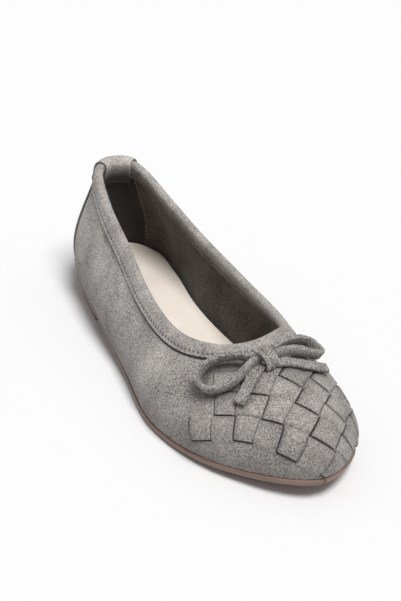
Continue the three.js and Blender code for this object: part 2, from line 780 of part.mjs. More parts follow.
// Rows crowd towards the heel's back, and on a plate of the whole length towards the toe too.
function plate(length, steps, topMargin, topHeight, bottomMargin, bottomHeightAt) {
  const lastTurn = length === LENGTH ? Math.PI : Math.PI / 2;
  const rows = (margin, height) => {
    const grid = [];
    for (let step = 0; step <= steps; step += 1) {
      const share = (1 - Math.cos((lastTurn * step) / steps)) / (1 - Math.cos(lastTurn));
      const row = plateRow(length * share, margin);
      row.forEach((point, cut) => {
        point.z = height(point.x, Math.abs(2 * PLATE_CUTS[cut] - 1));
      });
      grid.push(row);
    }
    return grid;
  };
  return slab(rows(topMargin, topHeight), rows(bottomMargin, bottomHeightAt));
}

// The outsole stands a little proud round the forefoot and lies flush under the waist and the heel.
const FLUSH_SHARE = 0.2;
const WAIST = { from: 0.4, span: 0.2 };

function outsoleMargin(x) {
  return OUTSOLE_MARGIN * mix(FLUSH_SHARE, 1, smooth((x / LENGTH - WAIST.from) / WAIST.span));
}

const outsoleTop = (x) => bottomHeight(x) - GAP;
const outsoleUnder = (x) => bottomHeight(x) - GAP - OUTSOLE_THICKNESS;

function outsole() {
  const lowMargin = (x) => outsoleMargin(x) - OUTSOLE_BEVEL;
  return plate(LENGTH, PLATE_STEPS, outsoleMargin, outsoleTop, lowMargin, outsoleUnder);
}

function heelBlock() {
  const topMargin = (x) => outsoleMargin(x) - OUTSOLE_BEVEL;
  const treadMargin = (x) => topMargin(x) - HEEL_BLOCK_TAPER;
  const top = (x) => outsoleUnder(x) - GAP;
  const tread = () => 0;
  return plate(HEEL_BLOCK_LENGTH, PLATE_STEPS / 3, topMargin, top, treadMargin, tread);
}

function insole() {
  const margin = () => -UPPER_WALL - INSOLE_CLEARANCE;
  const top = (x, edge) => bottomHeight(x) + INSOLE_THICKNESS + INSOLE_CUP * edge ** 4;
  return plate(LENGTH, PLATE_STEPS, margin, top, margin, bottomHeight);
}

// Bow: loops stand on edge on the vamp, tails lie flat under them, and the knot holds all four.
const KNOT_PLACE = { ahead: THROAT_REACH + KNOT_SETBACK, aside: -0.018 * BALL_WIDTH };

function abovePlan(x, y, height) {
  const { u, v } = solveOnWall(PLAN_SAMPLES, planOf, [x, y]);
  return { point: offWall(u, v, height), normal: wallNormal(u, v) };
}

function bandSections(route, span, restHeight, halfUp, halfAcross) {
  const places = route.map((stop) => abovePlan(
    KNOT_PLACE.ahead + stop.ahead * span,
    KNOT_PLACE.aside + stop.aside * span,
    restHeight + stop.lift * BOW_BAND_WIDTH,
  ));
  const curve = new THREE.CatmullRomCurve3(places.map((place) => place.point));
  const steps = 2 * (route.length - 1);
  const sections = [];
  for (let step = 0; step <= steps; step += 1) {
    const share = step / steps;
    const point = curve.getPoint(share);
    const forward = curve.getTangent(share);
    const normal = places[Math.round(share * (places.length - 1))].normal.clone();
    const across = new THREE.Vector3().crossVectors(forward, normal).normalize();
    const up = new THREE.Vector3().crossVectors(across, forward).normalize();
    sections.push(roundedSection(point, up, across, halfUp, halfAcross));
  }
  return sections;
}

const CORNER_SHARE = 0.55;

function roundedSection(point, up, across, halfUp, halfAcross) {
  const corner = Math.min(halfUp, halfAcross) * CORNER_SHARE;
  const corners = [
    [halfUp, halfAcross - corner],
    [halfUp - corner, halfAcross],
    [corner - halfUp, halfAcross],
    [-halfUp, halfAcross - corner],
    [-halfUp, corner - halfAcross],
    [corner - halfUp, -halfAcross],
    [halfUp - corner, -halfAcross],
    [halfUp, corner - halfAcross],
  ];
  return corners.map(([high, wide]) => point.clone().addScaledVector(up, high).addScaledVector(across, wide));
}

const WEAVE_TOP = WEAVE_RAISE + GAP;

function bowLoop(route) {
  const halfWidth = BOW_BAND_WIDTH / 2;
  const sections = bandSections(route, BOW_REACH, WEAVE_TOP + halfWidth, halfWidth, BOW_BAND_THICKNESS / 2);
  return sectionTube(sections, false);
}

function bowTail(route) {
  const halfThick = BOW_TAIL_THICKNESS / 2;
  const sections = bandSections(route, BOW_TAIL_LENGTH, WEAVE_TOP + halfThick, halfThick, BOW_BAND_WIDTH / 2);
  return sectionTube(sections, false);
}

const KNOT_ROUNDNESS = 0.6;
const KNOT_END_ANGLE = 86;
const KNOT_RINGS = 6;
const KNOT_SIDES = 12;

function bowKnot() {
  const seat = abovePlan(KNOT_PLACE.ahead, KNOT_PLACE.aside, WEAVE_TOP + KNOT_HEIGHT / 2);
  const up = seat.normal;
  const aside = new THREE.Vector3(0, 1, 0).addScaledVector(up, -up.y).normalize();
  const ahead = new THREE.Vector3().crossVectors(aside, up);
  const bend = (value) => Math.sign(value) * Math.abs(value) ** KNOT_ROUNDNESS;
  const rings = [];
  for (let ring = 0; ring <= KNOT_RINGS; ring += 1) {
    const tilt = radians(mix(-KNOT_END_ANGLE, KNOT_END_ANGLE, ring / KNOT_RINGS));
    const sides = [];
    for (let side = 0; side < KNOT_SIDES; side += 1) {
      const turn = (2 * Math.PI * side) / KNOT_SIDES;
      const reach = Math.cos(tilt) ** KNOT_ROUNDNESS;
      const point = seat.point.clone();
      point.addScaledVector(ahead, (KNOT_LENGTH / 2) * reach * bend(Math.cos(turn)));
      point.addScaledVector(up, (KNOT_HEIGHT / 2) * reach * bend(Math.sin(turn)));
      point.addScaledVector(aside, (KNOT_WIDTH / 2) * bend(Math.sin(tilt)));
      sides.push(point);
    }
    rings.push(sides);
  }
  return sectionTube(rings, false);
}

// Materials
const suede = new THREE.MeshStandardMaterial({ color: 0x8a8682, roughness: 0.95, metalness: 0 });
const wovenSuede = new THREE.MeshStandardMaterial({ color: 0x8d8985, roughness: 0.95, metalness: 0 });
const trimSuede = new THREE.MeshStandardMaterial({ color: 0x85817d, roughness: 0.95, metalness: 0 });
const soleBrown = new THREE.MeshStandardMaterial({ color: 0x7c5f54, roughness: 0.6, metalness: 0 });
const stackedBrown = new THREE.MeshStandardMaterial({ color: 0x74544a, roughness: 0.6, metalness: 0 });
const creamLeather = new THREE.MeshStandardMaterial({ color: 0xded3c6, roughness: 0.5, metalness: 0 });

// Assembly
const balletFlat = new THREE.Group();

function addPiece(name, geometry, material) {
  const mesh = new THREE.Mesh(geometry, material);
  mesh.name = name;
  mesh.position.x = -HEEL_TREAD_CENTRE;
  balletFlat.add(mesh);
}

addPiece('outsole', outsole(), soleBrown);
addPiece('heel', heelBlock(), stackedBrown);
addPiece('insole', insole(), creamLeather);
addPiece('upper', wovenUpper(), wovenSuede);
addPiece('collar_binding', collarBinding(), trimSuede);
addPiece('back_strip', backStrip(), suede);
addPiece('bow_knot', bowKnot(), trimSuede);
addPiece('bow_loop_lateral', bowLoop(LATERAL_LOOP), trimSuede);
addPiece('bow_loop_medial', bowLoop(MEDIAL_LOOP), trimSuede);
addPiece('bow_tail_lateral', bowTail(LATERAL_TAIL), trimSuede);
addPiece('bow_tail_medial', bowTail(MEDIAL_TAIL), trimSuede);

export default balletFlat;
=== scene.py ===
"""Dresses a right-foot ballet flat in suede, leather and its woven toe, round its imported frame.

Lengths are in metres. +X points to the toe, +Y to the medial side, +Z up, and the ground is at zero.
"""

import logging
import math
from dataclasses import dataclass
from enum import Enum
from typing import Callable, Sequence

import bpy
import numpy as np
from mathutils import Matrix, Vector


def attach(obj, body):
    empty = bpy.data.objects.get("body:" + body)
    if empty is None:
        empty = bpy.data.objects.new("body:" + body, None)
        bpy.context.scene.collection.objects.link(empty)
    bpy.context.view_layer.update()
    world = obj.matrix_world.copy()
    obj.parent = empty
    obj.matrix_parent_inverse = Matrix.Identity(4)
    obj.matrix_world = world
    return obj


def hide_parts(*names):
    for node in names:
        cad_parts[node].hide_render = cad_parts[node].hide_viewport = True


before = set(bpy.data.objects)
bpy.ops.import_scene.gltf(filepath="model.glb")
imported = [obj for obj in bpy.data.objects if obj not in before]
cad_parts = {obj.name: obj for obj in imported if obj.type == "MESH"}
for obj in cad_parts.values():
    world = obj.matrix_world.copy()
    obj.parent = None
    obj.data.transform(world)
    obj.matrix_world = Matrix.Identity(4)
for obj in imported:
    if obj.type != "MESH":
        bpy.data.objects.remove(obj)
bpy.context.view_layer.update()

LOG = logging.getLogger("ballet_flat")

# Driving sizes of the last and the bottom, as the frame has them
LENGTH = 0.241
HEEL_WIDTH = 0.051
BALL_WIDTH = 0.084
BACK_HEIGHT = 0.0655
SIDE_HEIGHT = 0.040
THROAT_HEIGHT = 0.047
THROAT_REACH = 0.178
COLLAR_WIDTH = 0.052
WALL_SWELL = 0.005
GAP = 0.0003
OUTSOLE_THICKNESS = 0.0035
OUTSOLE_MARGIN = 0.0008
OUTSOLE_BEVEL = 0.0016
HEEL_BLOCK_HEIGHT = 0.0074
HEEL_BLOCK_LENGTH = 0.059
HEEL_BLOCK_TAPER = 0.002
TOE_SPRING = 0.008
INSOLE_THICKNESS = 0.002
INSOLE_CUP = 0.0012
INSOLE_CLEARANCE = 0.001
UPPER_WALL = 0.002
BINDING_WIDTH = 0.007
BINDING_FOLD = 0.0075
BACK_STRIP_WIDTH = 0.045
BACK_STRIP_FOLD = 0.012
BALL_SEAT = OUTSOLE_THICKNESS + GAP
HEEL_SEAT = HEEL_BLOCK_HEIGHT + GAP + OUTSOLE_THICKNESS + GAP
HEEL_TREAD_CENTRE = HEEL_BLOCK_LENGTH / 2
HEEL_SEAT_END = 0.22
BALL_START = 0.58
BALL_END = 0.68

# What counts as one point and as no edge, and angles in degrees past which an edge stays sharp
SAME_PLACE = 2e-6
SHORTEST_EDGE = 1e-6
SHARP_ANGLE = 50.0
PLATE_SHARP_ANGLE = 60.0
ROUND_ANGLE = 180.0


def smooth(value: np.ndarray) -> np.ndarray:
    """Returns an even step from 0 to 1 for values from 0 to 1."""
    t = np.clip(value, 0.0, 1.0)
    return t * t * (3.0 - 2.0 * t)


def unit(vectors: np.ndarray) -> np.ndarray:
    """Returns vectors of the same directions and of length 1."""
    return vectors / np.maximum(np.linalg.norm(vectors, axis=-1, keepdims=True), 1e-12)


def walk(points: np.ndarray) -> np.ndarray:
    """Returns how far along a line each of its points lies."""
    return np.concatenate([[0.0], np.cumsum(np.linalg.norm(np.diff(points, axis=0), axis=1))])


def stack(*parts: np.ndarray) -> np.ndarray:
    """Returns points from their three coordinates."""
    return np.stack(np.broadcast_arrays(*parts), axis=-1)


def bottom_height(x: np.ndarray) -> np.ndarray:
    """Gives the height of the sole edge.

    Args:
        x: Places along the shoe, from the heel's back.

    Returns:
        Heights over the ground.
    """
    place = x / LENGTH
    dip = smooth((place - HEEL_SEAT_END) / (BALL_START - HEEL_SEAT_END))
    spring = np.maximum((place - BALL_END) / (1.0 - BALL_END), 0.0)
    return HEEL_SEAT + (BALL_SEAT - HEEL_SEAT) * dip + TOE_SPRING * spring * spring


@dataclass(frozen=True)
class Section:
    """A section of the upper: its foot, its rim and the pull of the wall between them.

    foot and side place the sole edge, rim and rim_side the collar edge, as shares. top is the collar's
    height. rise and reach pull the wall at its foot and its rim, swell leans it out, drop is its slope.
    """

    name: str
    foot: float
    side: float
    width: float
    rim: float
    rim_side: float
    top: float
    rise: float
    swell: float
    reach: float
    drop: float


BACK, FLANK, THROAT = BACK_HEIGHT, SIDE_HEIGHT, THROAT_HEIGHT
HEEL, BALL = HEEL_WIDTH, BALL_WIDTH
# On the medial side, from the heel to the waist, the collar's edge lies up to 2.4 mm lower than the frame's
SECTIONS = (
    Section("heel back", 0, 0, HEEL, 0.034, 0, BACK, 0.336, 1, 0.305, 82),
    Section("heel corner, lateral", 0.029, -0.35, HEEL, 0.047, -0.158, 0.997 * BACK, 0.323, 1.1, 0.292, 81),
    Section("heel, lateral", 0.091, -0.52, HEEL, 0.087, -0.27, 0.982 * BACK, 0.31, 1.2, 0.28, 80),
    Section("quarter, lateral", 0.195, -0.618, HEEL, 0.225, -0.365, 0.875 * BACK, 0.31, 1, 0.26, 75),
    Section("waist, lateral", 0.332, -0.417, BALL, 0.404, -0.412, 0.753 * BACK, 0.3, 0.8, 0.26, 68),
    Section("arch, lateral", 0.506, -0.458, BALL, 0.618, -0.482, 1.02 * FLANK, 0.333, 0.8, 0.31, 60),
    Section("ball, lateral", 0.689, -0.512, BALL, 0.803, -0.468, 0.941 * FLANK, 0.395, 0.8, 0.37, 45),
    Section("toe, lateral", 0.8755, -0.333, BALL, 0.9415, -0.304, 0.883 * THROAT, 0.452, 1, 0.524, 25),
    Section("toe tip", 1, 0.077, BALL, 1.0035, 0, 0.99 * THROAT, 0.426, 0.8, 0.681, 12),
    Section("toe, medial", 0.934, 0.357, BALL, 0.9695, 0.298, 0.977 * THROAT, 0.413, 1, 0.478, 25),
    Section("ball, medial", 0.714, 0.488, BALL, 0.888, 0.49, 1.075 * FLANK, 0.372, 0.8, 0.326, 45),
    Section("arch, medial", 0.498, 0.304, BALL, 0.629, 0.52, 1.052 * FLANK, 0.353, 1, 0.306, 70),
    Section("waist, medial", 0.332, 0.244, BALL, 0.393, 0.451, 0.711 * BACK, 0.327, 1, 0.265, 76),
    Section("quarter, medial", 0.195, 0.461, HEEL, 0.225, 0.367, 0.821 * BACK, 0.319, 1, 0.265, 78),
    Section("heel, medial", 0.091, 0.471, HEEL, 0.093, 0.256, 0.951 * BACK, 0.315, 1.2, 0.283, 80),
    Section("heel corner, medial", 0.029, 0.325, HEEL, 0.05, 0.158, 0.991 * BACK, 0.325, 1.1, 0.293, 81),
)


class Last:
    """The last that every piece is laid on: a smooth wall from the sole edge to the collar edge."""

    STEP = 1e-3
    STEEP_LEAST = 0.004
    STEEP_SPAN = 0.014
    LEVEL_SHARE = 0.125
    SAMPLES = 200
    HALVINGS = 50

    def __init__(self) -> None:
        """Works out the round curves from the table of sections."""
        feet = np.array([[row.foot * LENGTH, row.side * row.width] for row in SECTIONS])
        steps = np.linalg.norm(np.roll(feet, -1, axis=0) - feet, axis=1)
        self.shares = np.concatenate([[0.0], np.cumsum(steps)]) / steps.sum()
        self.foot_x = self.round_curve(feet[:, 0])
        self.foot_y = self.round_curve(feet[:, 1])
        self.rim_x = self.round_curve([row.rim * THROAT_REACH for row in SECTIONS])
        self.rim_y = self.round_curve([row.rim_side * COLLAR_WIDTH for row in SECTIONS])
        self.rim_z = self.round_curve([row.top for row in SECTIONS])
        self.foot_pull = self.round_curve([row.rise * row.top for row in SECTIONS])
        self.foot_lean = self.round_curve([row.swell * WALL_SWELL for row in SECTIONS])
        self.rim_pull = self.round_curve([row.reach * row.top for row in SECTIONS])
        self.rim_drop = self.round_curve([row.drop for row in SECTIONS])

    def share_of(self, name: str) -> float:
        """Returns the share of the way round at a named section."""
        return float(self.shares[[row.name for row in SECTIONS].index(name)])

    def round_curve(self, values: Sequence[float]) -> Callable[[np.ndarray], np.ndarray]:
        """Makes a smooth closed curve through one value for each section.

        Args:
            values: A value for each section.

        Returns:
            A function from shares of the way round to values.
        """
        heights = np.asarray(values, float)
        spans = np.diff(self.shares)
        rises = (np.roll(heights, -1) - heights) / spans
        spans_before, rises_before = np.roll(spans, 1), np.roll(rises, 1)
        slopes = (spans * rises_before + spans_before * rises) / (spans_before + spans)

        def read(share: np.ndarray) -> np.ndarray:
            """Returns the curve's values at shares of the way round."""
            place = np.mod(share, 1.0)
            index = np.searchsorted(self.shares, place, side="right") - 1
            index = np.clip(index, 0, len(heights) - 1)
            after = (index + 1) % len(heights)
            span = spans[index]
            t = (place - self.shares[index]) / span
            ease = t * t * (3.0 - 2.0 * t)
            leave = t * (1.0 - t) ** 2 * span * slopes[index]
            arrive = t * t * (t - 1.0) * span * slopes[after]
            return heights[index] * (1.0 - ease) + heights[after] * ease + leave + arrive

        return read

    def outward(self, u: np.ndarray) -> np.ndarray:
        """Returns level directions away from the sole edge."""
        along_x = self.foot_x(u + self.STEP) - self.foot_x(u - self.STEP)
        along_y = self.foot_y(u + self.STEP) - self.foot_y(u - self.STEP)
        return unit(stack(along_y, -along_x, 0.0))

    def wall(self, u: np.ndarray, v: np.ndarray) -> np.ndarray:
        """Gives points of the wall.

        Args:
            u: Shares of the way round, from the heel's back over the lateral side.
            v: Shares of the wall's height, from the sole edge to the collar edge.

        Returns:
            Points, measured from the heel's back.
        """
        u, v = np.broadcast_arrays(np.asarray(u, float), np.asarray(v, float))
        foot = stack(self.foot_x(u), self.foot_y(u), bottom_height(self.foot_x(u)))
        rim = stack(self.rim_x(u), self.rim_y(u), self.rim_z(u))
        out = self.outward(u)
        away = (foot - rim) * np.array([1.0, 1.0, 0.0])
        reach = np.linalg.norm(away, axis=-1, keepdims=True)
        blend = np.clip((reach - self.STEEP_LEAST) / self.STEEP_SPAN, 0.0, 1.0)
        lead = unit(unit(away) * blend + out * (1.0 - blend))
        up = np.array([0.0, 0.0, 1.0])
        low = foot + out * self.foot_lean(u)[..., None] + up * self.foot_pull(u)[..., None]
        slope, pull = np.radians(self.rim_drop(u))[..., None], self.rim_pull(u)[..., None]
        high = rim + lead * np.cos(slope) * pull - up * np.sin(slope) * pull
        t = v[..., None]
        s = 1.0 - t
        return s**3 * foot + 3 * s * s * t * low + 3 * s * t * t * high + t**3 * rim

    def normal(self, u: np.ndarray, v: np.ndarray) -> np.ndarray:
        """Returns outward directions of the wall, level at the sole edge."""
        u, v = np.broadcast_arrays(np.asarray(u, float), np.asarray(v, float))
        along = self.wall(u + self.STEP, v) - self.wall(u - self.STEP, v)
        up = self.wall(u, np.minimum(v + self.STEP, 1.0)) - self.wall(u, np.maximum(v - self.STEP, 0.0))
        normal = unit(np.cross(along, up))
        normal[..., 2] *= smooth(v / self.LEVEL_SHARE)
        return unit(normal)

    def off_wall(self, u: np.ndarray, v: np.ndarray, height: np.ndarray) -> np.ndarray:
        """Returns points at heights over the wall."""
        return self.wall(u, v) + self.normal(u, v) * np.asarray(height, float)[..., None]

    def below_rim(self, u: np.ndarray, distance: np.ndarray) -> np.ndarray:
        """Finds places on the wall at distances below the collar edge.

        Args:
            u: Shares of the way round.
            distance: Distances down the wall.

        Returns:
            Shares of the wall's height.
        """
        u, distance = np.broadcast_arrays(np.asarray(u, float), np.asarray(distance, float))
        down = np.linspace(1.0, 0.0, self.SAMPLES + 1)
        rounds, which = np.unique(u, return_inverse=True)
        points = self.wall(rounds[:, None], down[None, :])
        steps = np.linalg.norm(np.diff(points, axis=1), axis=-1)
        walked = np.concatenate([np.zeros((len(rounds), 1)), np.cumsum(steps, axis=1)], axis=1)
        shares = [np.interp(d, walked[w], down) for d, w in zip(distance.ravel(), which.ravel())]
        return np.array(shares).reshape(u.shape)

    def share_where(self, wanted: Callable[[np.ndarray], np.ndarray], low: np.ndarray,
                    high: np.ndarray) -> np.ndarray:
        """Halves stretches until the first share where something wanted comes true.

        Args:
            wanted: Says for each share whether it is far enough.
            low: Shares that aren't.
            high: Shares that are.

        Returns:
            The shares between.
        """
        low, high = np.array(low, float), np.array(high, float)
        for _ in range(self.HALVINGS):
            middle = (low + high) / 2
            far = wanted(middle)
            high = np.where(far, middle, high)
            low = np.where(far, low, middle)
        return (low + high) / 2

    def over_edge(self, u: np.ndarray, bend: "Bend") -> np.ndarray:
        """Gives points over the wall's edge: outside, round its top or inside.

        Args:
            u: Shares of the way round.
            bend: Where on the fold, and how high over the wall.

        Returns:
            Points, measured from the heel's back.
        """
        if bend.turn is None:
            side = bend.height if bend.below >= 0 else -UPPER_WALL - bend.height
            return self.off_wall(u, self.below_rim(u, abs(bend.below)), np.full(len(u), side))
        ones = np.ones(len(u))
        normal = self.normal(u, ones)
        up = unit(self.wall(u, ones) - self.wall(u, ones - self.STEP))
        radius, angle = UPPER_WALL / 2 + bend.height, math.radians(bend.turn)
        middle = self.wall(u, ones) - normal * UPPER_WALL / 2
        return middle + normal * radius * math.cos(angle) + up * radius * math.sin(angle)


@dataclass(frozen=True)
class Bend:
    """A point of a fold over the collar edge.

    below is a distance below the edge, negative inside. turn is an angle round the edge instead.
    height lies over the wall.
    """

    below: float = 0.0
    height: float = GAP
    turn: float | None = None


HALF_TURN = range(0, 181, 15)
LAST = Last()
ORIGIN = np.array([HEEL_TREAD_CENTRE, 0.0, 0.0])


class Finish(Enum):
    """The finishes of the shoe, each a material."""

    SUEDE = "upper_suede"
    TRIM = "trim_suede"
    STRIP = "strip_suede_lit"
    BOW = "bow_suede"
    LINING = "lining_leather"
    INSOLE = "insole_leather"
    OUTSOLE = "outsole"
    HEEL = "stacked_heel"
    THREAD = "thread"
    PALE_THREAD = "pale_thread"


def clear_selection() -> None:
    """Leaves nothing selected, so that an operator acts on the new piece alone."""
    if bpy.context.object and bpy.context.object.mode != "OBJECT":
        bpy.ops.object.mode_set(mode="OBJECT")
    bpy.ops.object.select_all(action="DESELECT")


def edit(piece: bpy.types.Object) -> None:
    """Opens a piece in edit mode with all of it selected."""
    clear_selection()
    piece.select_set(True)
    bpy.context.view_layer.objects.active = piece
    bpy.ops.object.mode_set(mode="EDIT")
    bpy.ops.mesh.select_all(action="SELECT")


def lay(name: str, points: np.ndarray, outward: np.ndarray | None = None,
        shade: np.ndarray | None = None) -> bpy.types.Object:
    """Lays a grid of faces on a grid of points, as a skin is laid on the last.

    Args:
        name: The piece's name.
        points: Rows of points, measured from the heel's back.
        outward: Directions that the faces look to, of an open skin.
        shade: A value for each point that its material reads, where 1 is a dark place.

    Returns:
        The piece, with its place in its mesh.
    """
    around, across = points.shape[0] - 1, points.shape[1] - 1
    clear_selection()
    bpy.ops.mesh.primitive_grid_add(x_subdivisions=around, y_subdivisions=across, size=1)
    piece = bpy.context.object
    piece.name = piece.data.name = name
    mesh = piece.data
    flat = np.empty(len(mesh.vertices) * 3)
    mesh.vertices.foreach_get("co", flat)
    shares = flat.reshape(-1, 3)[:, :2] + 0.5
    row, column = np.rint(shares * [around, across]).astype(int).T
    mesh.vertices.foreach_set("co", (points[row, column] - ORIGIN).ravel())
    values = np.zeros_like(points[..., 0]) if shade is None else shade
    mesh.attributes.new("shade", "FLOAT", "POINT").data.foreach_set("value", values[row, column].ravel())
    mesh.update()
    if outward is not None:
        facing = np.empty(len(mesh.vertices) * 3)
        mesh.vertex_normals.foreach_get("vector", facing)
        if (facing.reshape(-1, 3) * outward[row, column]).sum() < 0:
            mesh.flip_normals()
    return piece


def merge(piece: bpy.types.Object, distance: float = SAME_PLACE) -> None:
    """Merges a piece's points that lie closer than a distance, and leaves it open in edit mode."""
    edit(piece)
    bpy.ops.mesh.remove_doubles(threshold=distance)


def close(piece: bpy.types.Object) -> None:
    """Merges a piece's doubled points, closes its open ends and turns its faces outwards."""
    merge(piece)
    bpy.ops.mesh.dissolve_degenerate(threshold=SHORTEST_EDGE)
    bpy.ops.mesh.select_all(action="DESELECT")
    bpy.ops.mesh.select_non_manifold(extend=False, use_wire=False, use_multi_face=False,
                                     use_non_contiguous=False, use_verts=False)
    bpy.ops.mesh.fill_holes(sides=0)
    bpy.ops.mesh.select_all(action="SELECT")
    bpy.ops.mesh.normals_make_consistent(inside=False)
    bpy.ops.object.mode_set(mode="OBJECT")


def apply(piece: bpy.types.Object, kind: str, **settings: object) -> None:
    """Adds a modifier to a piece and applies it.

    Args:
        piece: The piece.
        kind: The modifier's type.
        settings: Its values.
    """
    clear_selection()
    piece.select_set(True)
    bpy.context.view_layer.objects.active = piece
    modifier = piece.modifiers.new(kind.title(), kind)
    for name, value in settings.items():
        setattr(modifier, name, value)
    bpy.ops.object.modifier_apply(modifier=modifier.name)


def thicken(piece: bpy.types.Object, thickness: float, bevel: float, segments: int = 2) -> None:
    """Gives a skin its thickness, inwards, and breaks its cut edges.

    Args:
        piece: The skin.
        thickness: Its thickness.
        bevel: The width of its broken edges.
        segments: How many faces round them.
    """
    apply(piece, "SOLIDIFY", thickness=thickness, offset=-1.0)
    apply(piece, "BEVEL", width=bevel, segments=segments, limit_method="ANGLE",
          angle_limit=math.radians(SHARP_ANGLE))


def round_off(piece: bpy.types.Object, angle: float = SHARP_ANGLE) -> None:
    """Shades a piece smooth, apart from edges sharper than an angle in degrees."""
    clear_selection()
    piece.select_set(True)
    bpy.context.view_layer.objects.active = piece
    bpy.ops.object.shade_smooth_by_angle(angle=math.radians(angle))


def join(name: str, pieces: Sequence[bpy.types.Object]) -> bpy.types.Object:
    """Joins pieces into one.

    Args:
        name: Its name.
        pieces: What is joined.

    Returns:
        The joined piece, at the origin.
    """
    clear_selection()
    for piece in pieces:
        piece.select_set(True)
    bpy.context.view_layer.objects.active = pieces[0]
    if len(pieces) > 1:
        bpy.ops.object.join()
    piece = bpy.context.object
    bpy.ops.object.transform_apply(location=True, rotation=True, scale=True)
    piece.name = piece.data.name = name
    return piece


class Nodes:
    """Builds one material's nodes."""

    def __init__(self, name: str) -> None:
        """Starts a material with its shader and its two kinds of coordinates."""
        self.material = bpy.data.materials.new(name)
        self.material.use_nodes = True
        self.tree = self.material.node_tree
        self.shader = self.tree.nodes["Principled BSDF"]
        self.place = self.tree.nodes.new("ShaderNodeTexCoord").outputs["Object"]
        shade = self.tree.nodes.new("ShaderNodeAttribute")
        shade.attribute_name = "shade"
        self.shade = shade.outputs["Fac"]

    def set(self, **values: object) -> "Nodes":
        """Sets constants on the shader's own sockets, named with underscores, and returns these nodes."""
        for name, value in values.items():
            self.shader.inputs[name.replace("_", " ")].default_value = value
        return self

    def noise(self, size: float, detail: float = 2.0, stretch: Sequence[float] = (1.0, 1.0, 1.0),
              roughness: float = 0.5) -> bpy.types.NodeSocket:
        """Adds soft noise.

        Args:
            size: The size of its spots in metres.
            detail: How many finer layers it has.
            stretch: How much finer it is along X, Y and Z.
            roughness: How strong the finer layers are.

        Returns:
            The noise from 0 to 1.
        """
        mapping = self.tree.nodes.new("ShaderNodeMapping")
        mapping.inputs["Scale"].default_value = stretch
        self.tree.links.new(self.place, mapping.inputs["Vector"])
        node = self.tree.nodes.new("ShaderNodeTexNoise")
        node.inputs["Scale"].default_value = 1.0 / size
        node.inputs["Detail"].default_value = detail
        node.inputs["Roughness"].default_value = roughness
        self.tree.links.new(mapping.outputs["Vector"], node.inputs["Vector"])
        return node.outputs["Fac"]

    def spread(self, value: bpy.types.NodeSocket, low: float, high: float,
               to_low: float = 0.0, to_high: float = 1.0) -> bpy.types.NodeSocket:
        """Spreads a stretch of values.

        Args:
            value: The values.
            low: Where the stretch starts.
            high: Where it ends.
            to_low: What its start becomes.
            to_high: What its end becomes.

        Returns:
            The new values, held between the two.
        """
        node = self.tree.nodes.new("ShaderNodeMapRange")
        for name, number in (("From Min", low), ("From Max", high), ("To Min", to_low), ("To Max", to_high)):
            node.inputs[name].default_value = number
        self.tree.links.new(value, node.inputs["Value"])
        return node.outputs["Result"]

    def math(self, how: str, first: bpy.types.NodeSocket, second: object) -> bpy.types.NodeSocket:
        """Returns the outcome of a sum or product of a value with another or a number."""
        node = self.tree.nodes.new("ShaderNodeMath")
        node.operation = how
        self.tree.links.new(first, node.inputs[0])
        if isinstance(second, (int, float)):
            node.inputs[1].default_value = second
        else:
            self.tree.links.new(second, node.inputs[1])
        return node.outputs[0]

    def blend(self, share: bpy.types.NodeSocket, first: object, second: object,
              how: str = "MIX") -> bpy.types.NodeSocket:
        """Blends two colours.

        Args:
            share: How much of the second is in the blend.
            first: A colour or a socket.
            second: A colour or a socket.
            how: The way of blending.

        Returns:
            The blended colour.
        """
        node = self.tree.nodes.new("ShaderNodeMix")
        node.data_type = "RGBA"
        node.blend_type = how
        self.tree.links.new(share, node.inputs["Factor"])
        for value, socket in ((first, node.inputs[6]), (second, node.inputs[7])):
            if isinstance(value, bpy.types.NodeSocket):
                self.tree.links.new(value, socket)
            else:
                socket.default_value = (*value, 1.0)
        return node.outputs[2]

    def bump(self, height: bpy.types.NodeSocket, depth: float, strength: float = 1.0,
             under: bpy.types.NodeSocket | None = None) -> bpy.types.NodeSocket:
        """Adds relief.

        Args:
            height: Its heights from 0 to 1.
            depth: Its depth in metres.
            strength: How strongly it shows.
            under: Coarser relief that it lies on.

        Returns:
            The relief for a finer one, or for the shader.
        """
        node = self.tree.nodes.new("ShaderNodeBump")
        node.inputs["Distance"].default_value = depth
        node.inputs["Strength"].default_value = strength
        self.tree.links.new(height, node.inputs["Height"])
        if under is not None:
            self.tree.links.new(under, node.inputs["Normal"])
        return node.outputs["Normal"]

    def finish(self, colour: bpy.types.NodeSocket, relief: bpy.types.NodeSocket,
               roughness: bpy.types.NodeSocket | None = None) -> bpy.types.Material:
        """Links colour, relief and roughness to the shader, and returns the material."""
        self.tree.links.new(colour, self.shader.inputs["Base Color"])
        self.tree.links.new(relief, self.shader.inputs["Normal"])
        if roughness is not None:
            self.tree.links.new(roughness, self.shader.inputs["Roughness"])
        return self.material


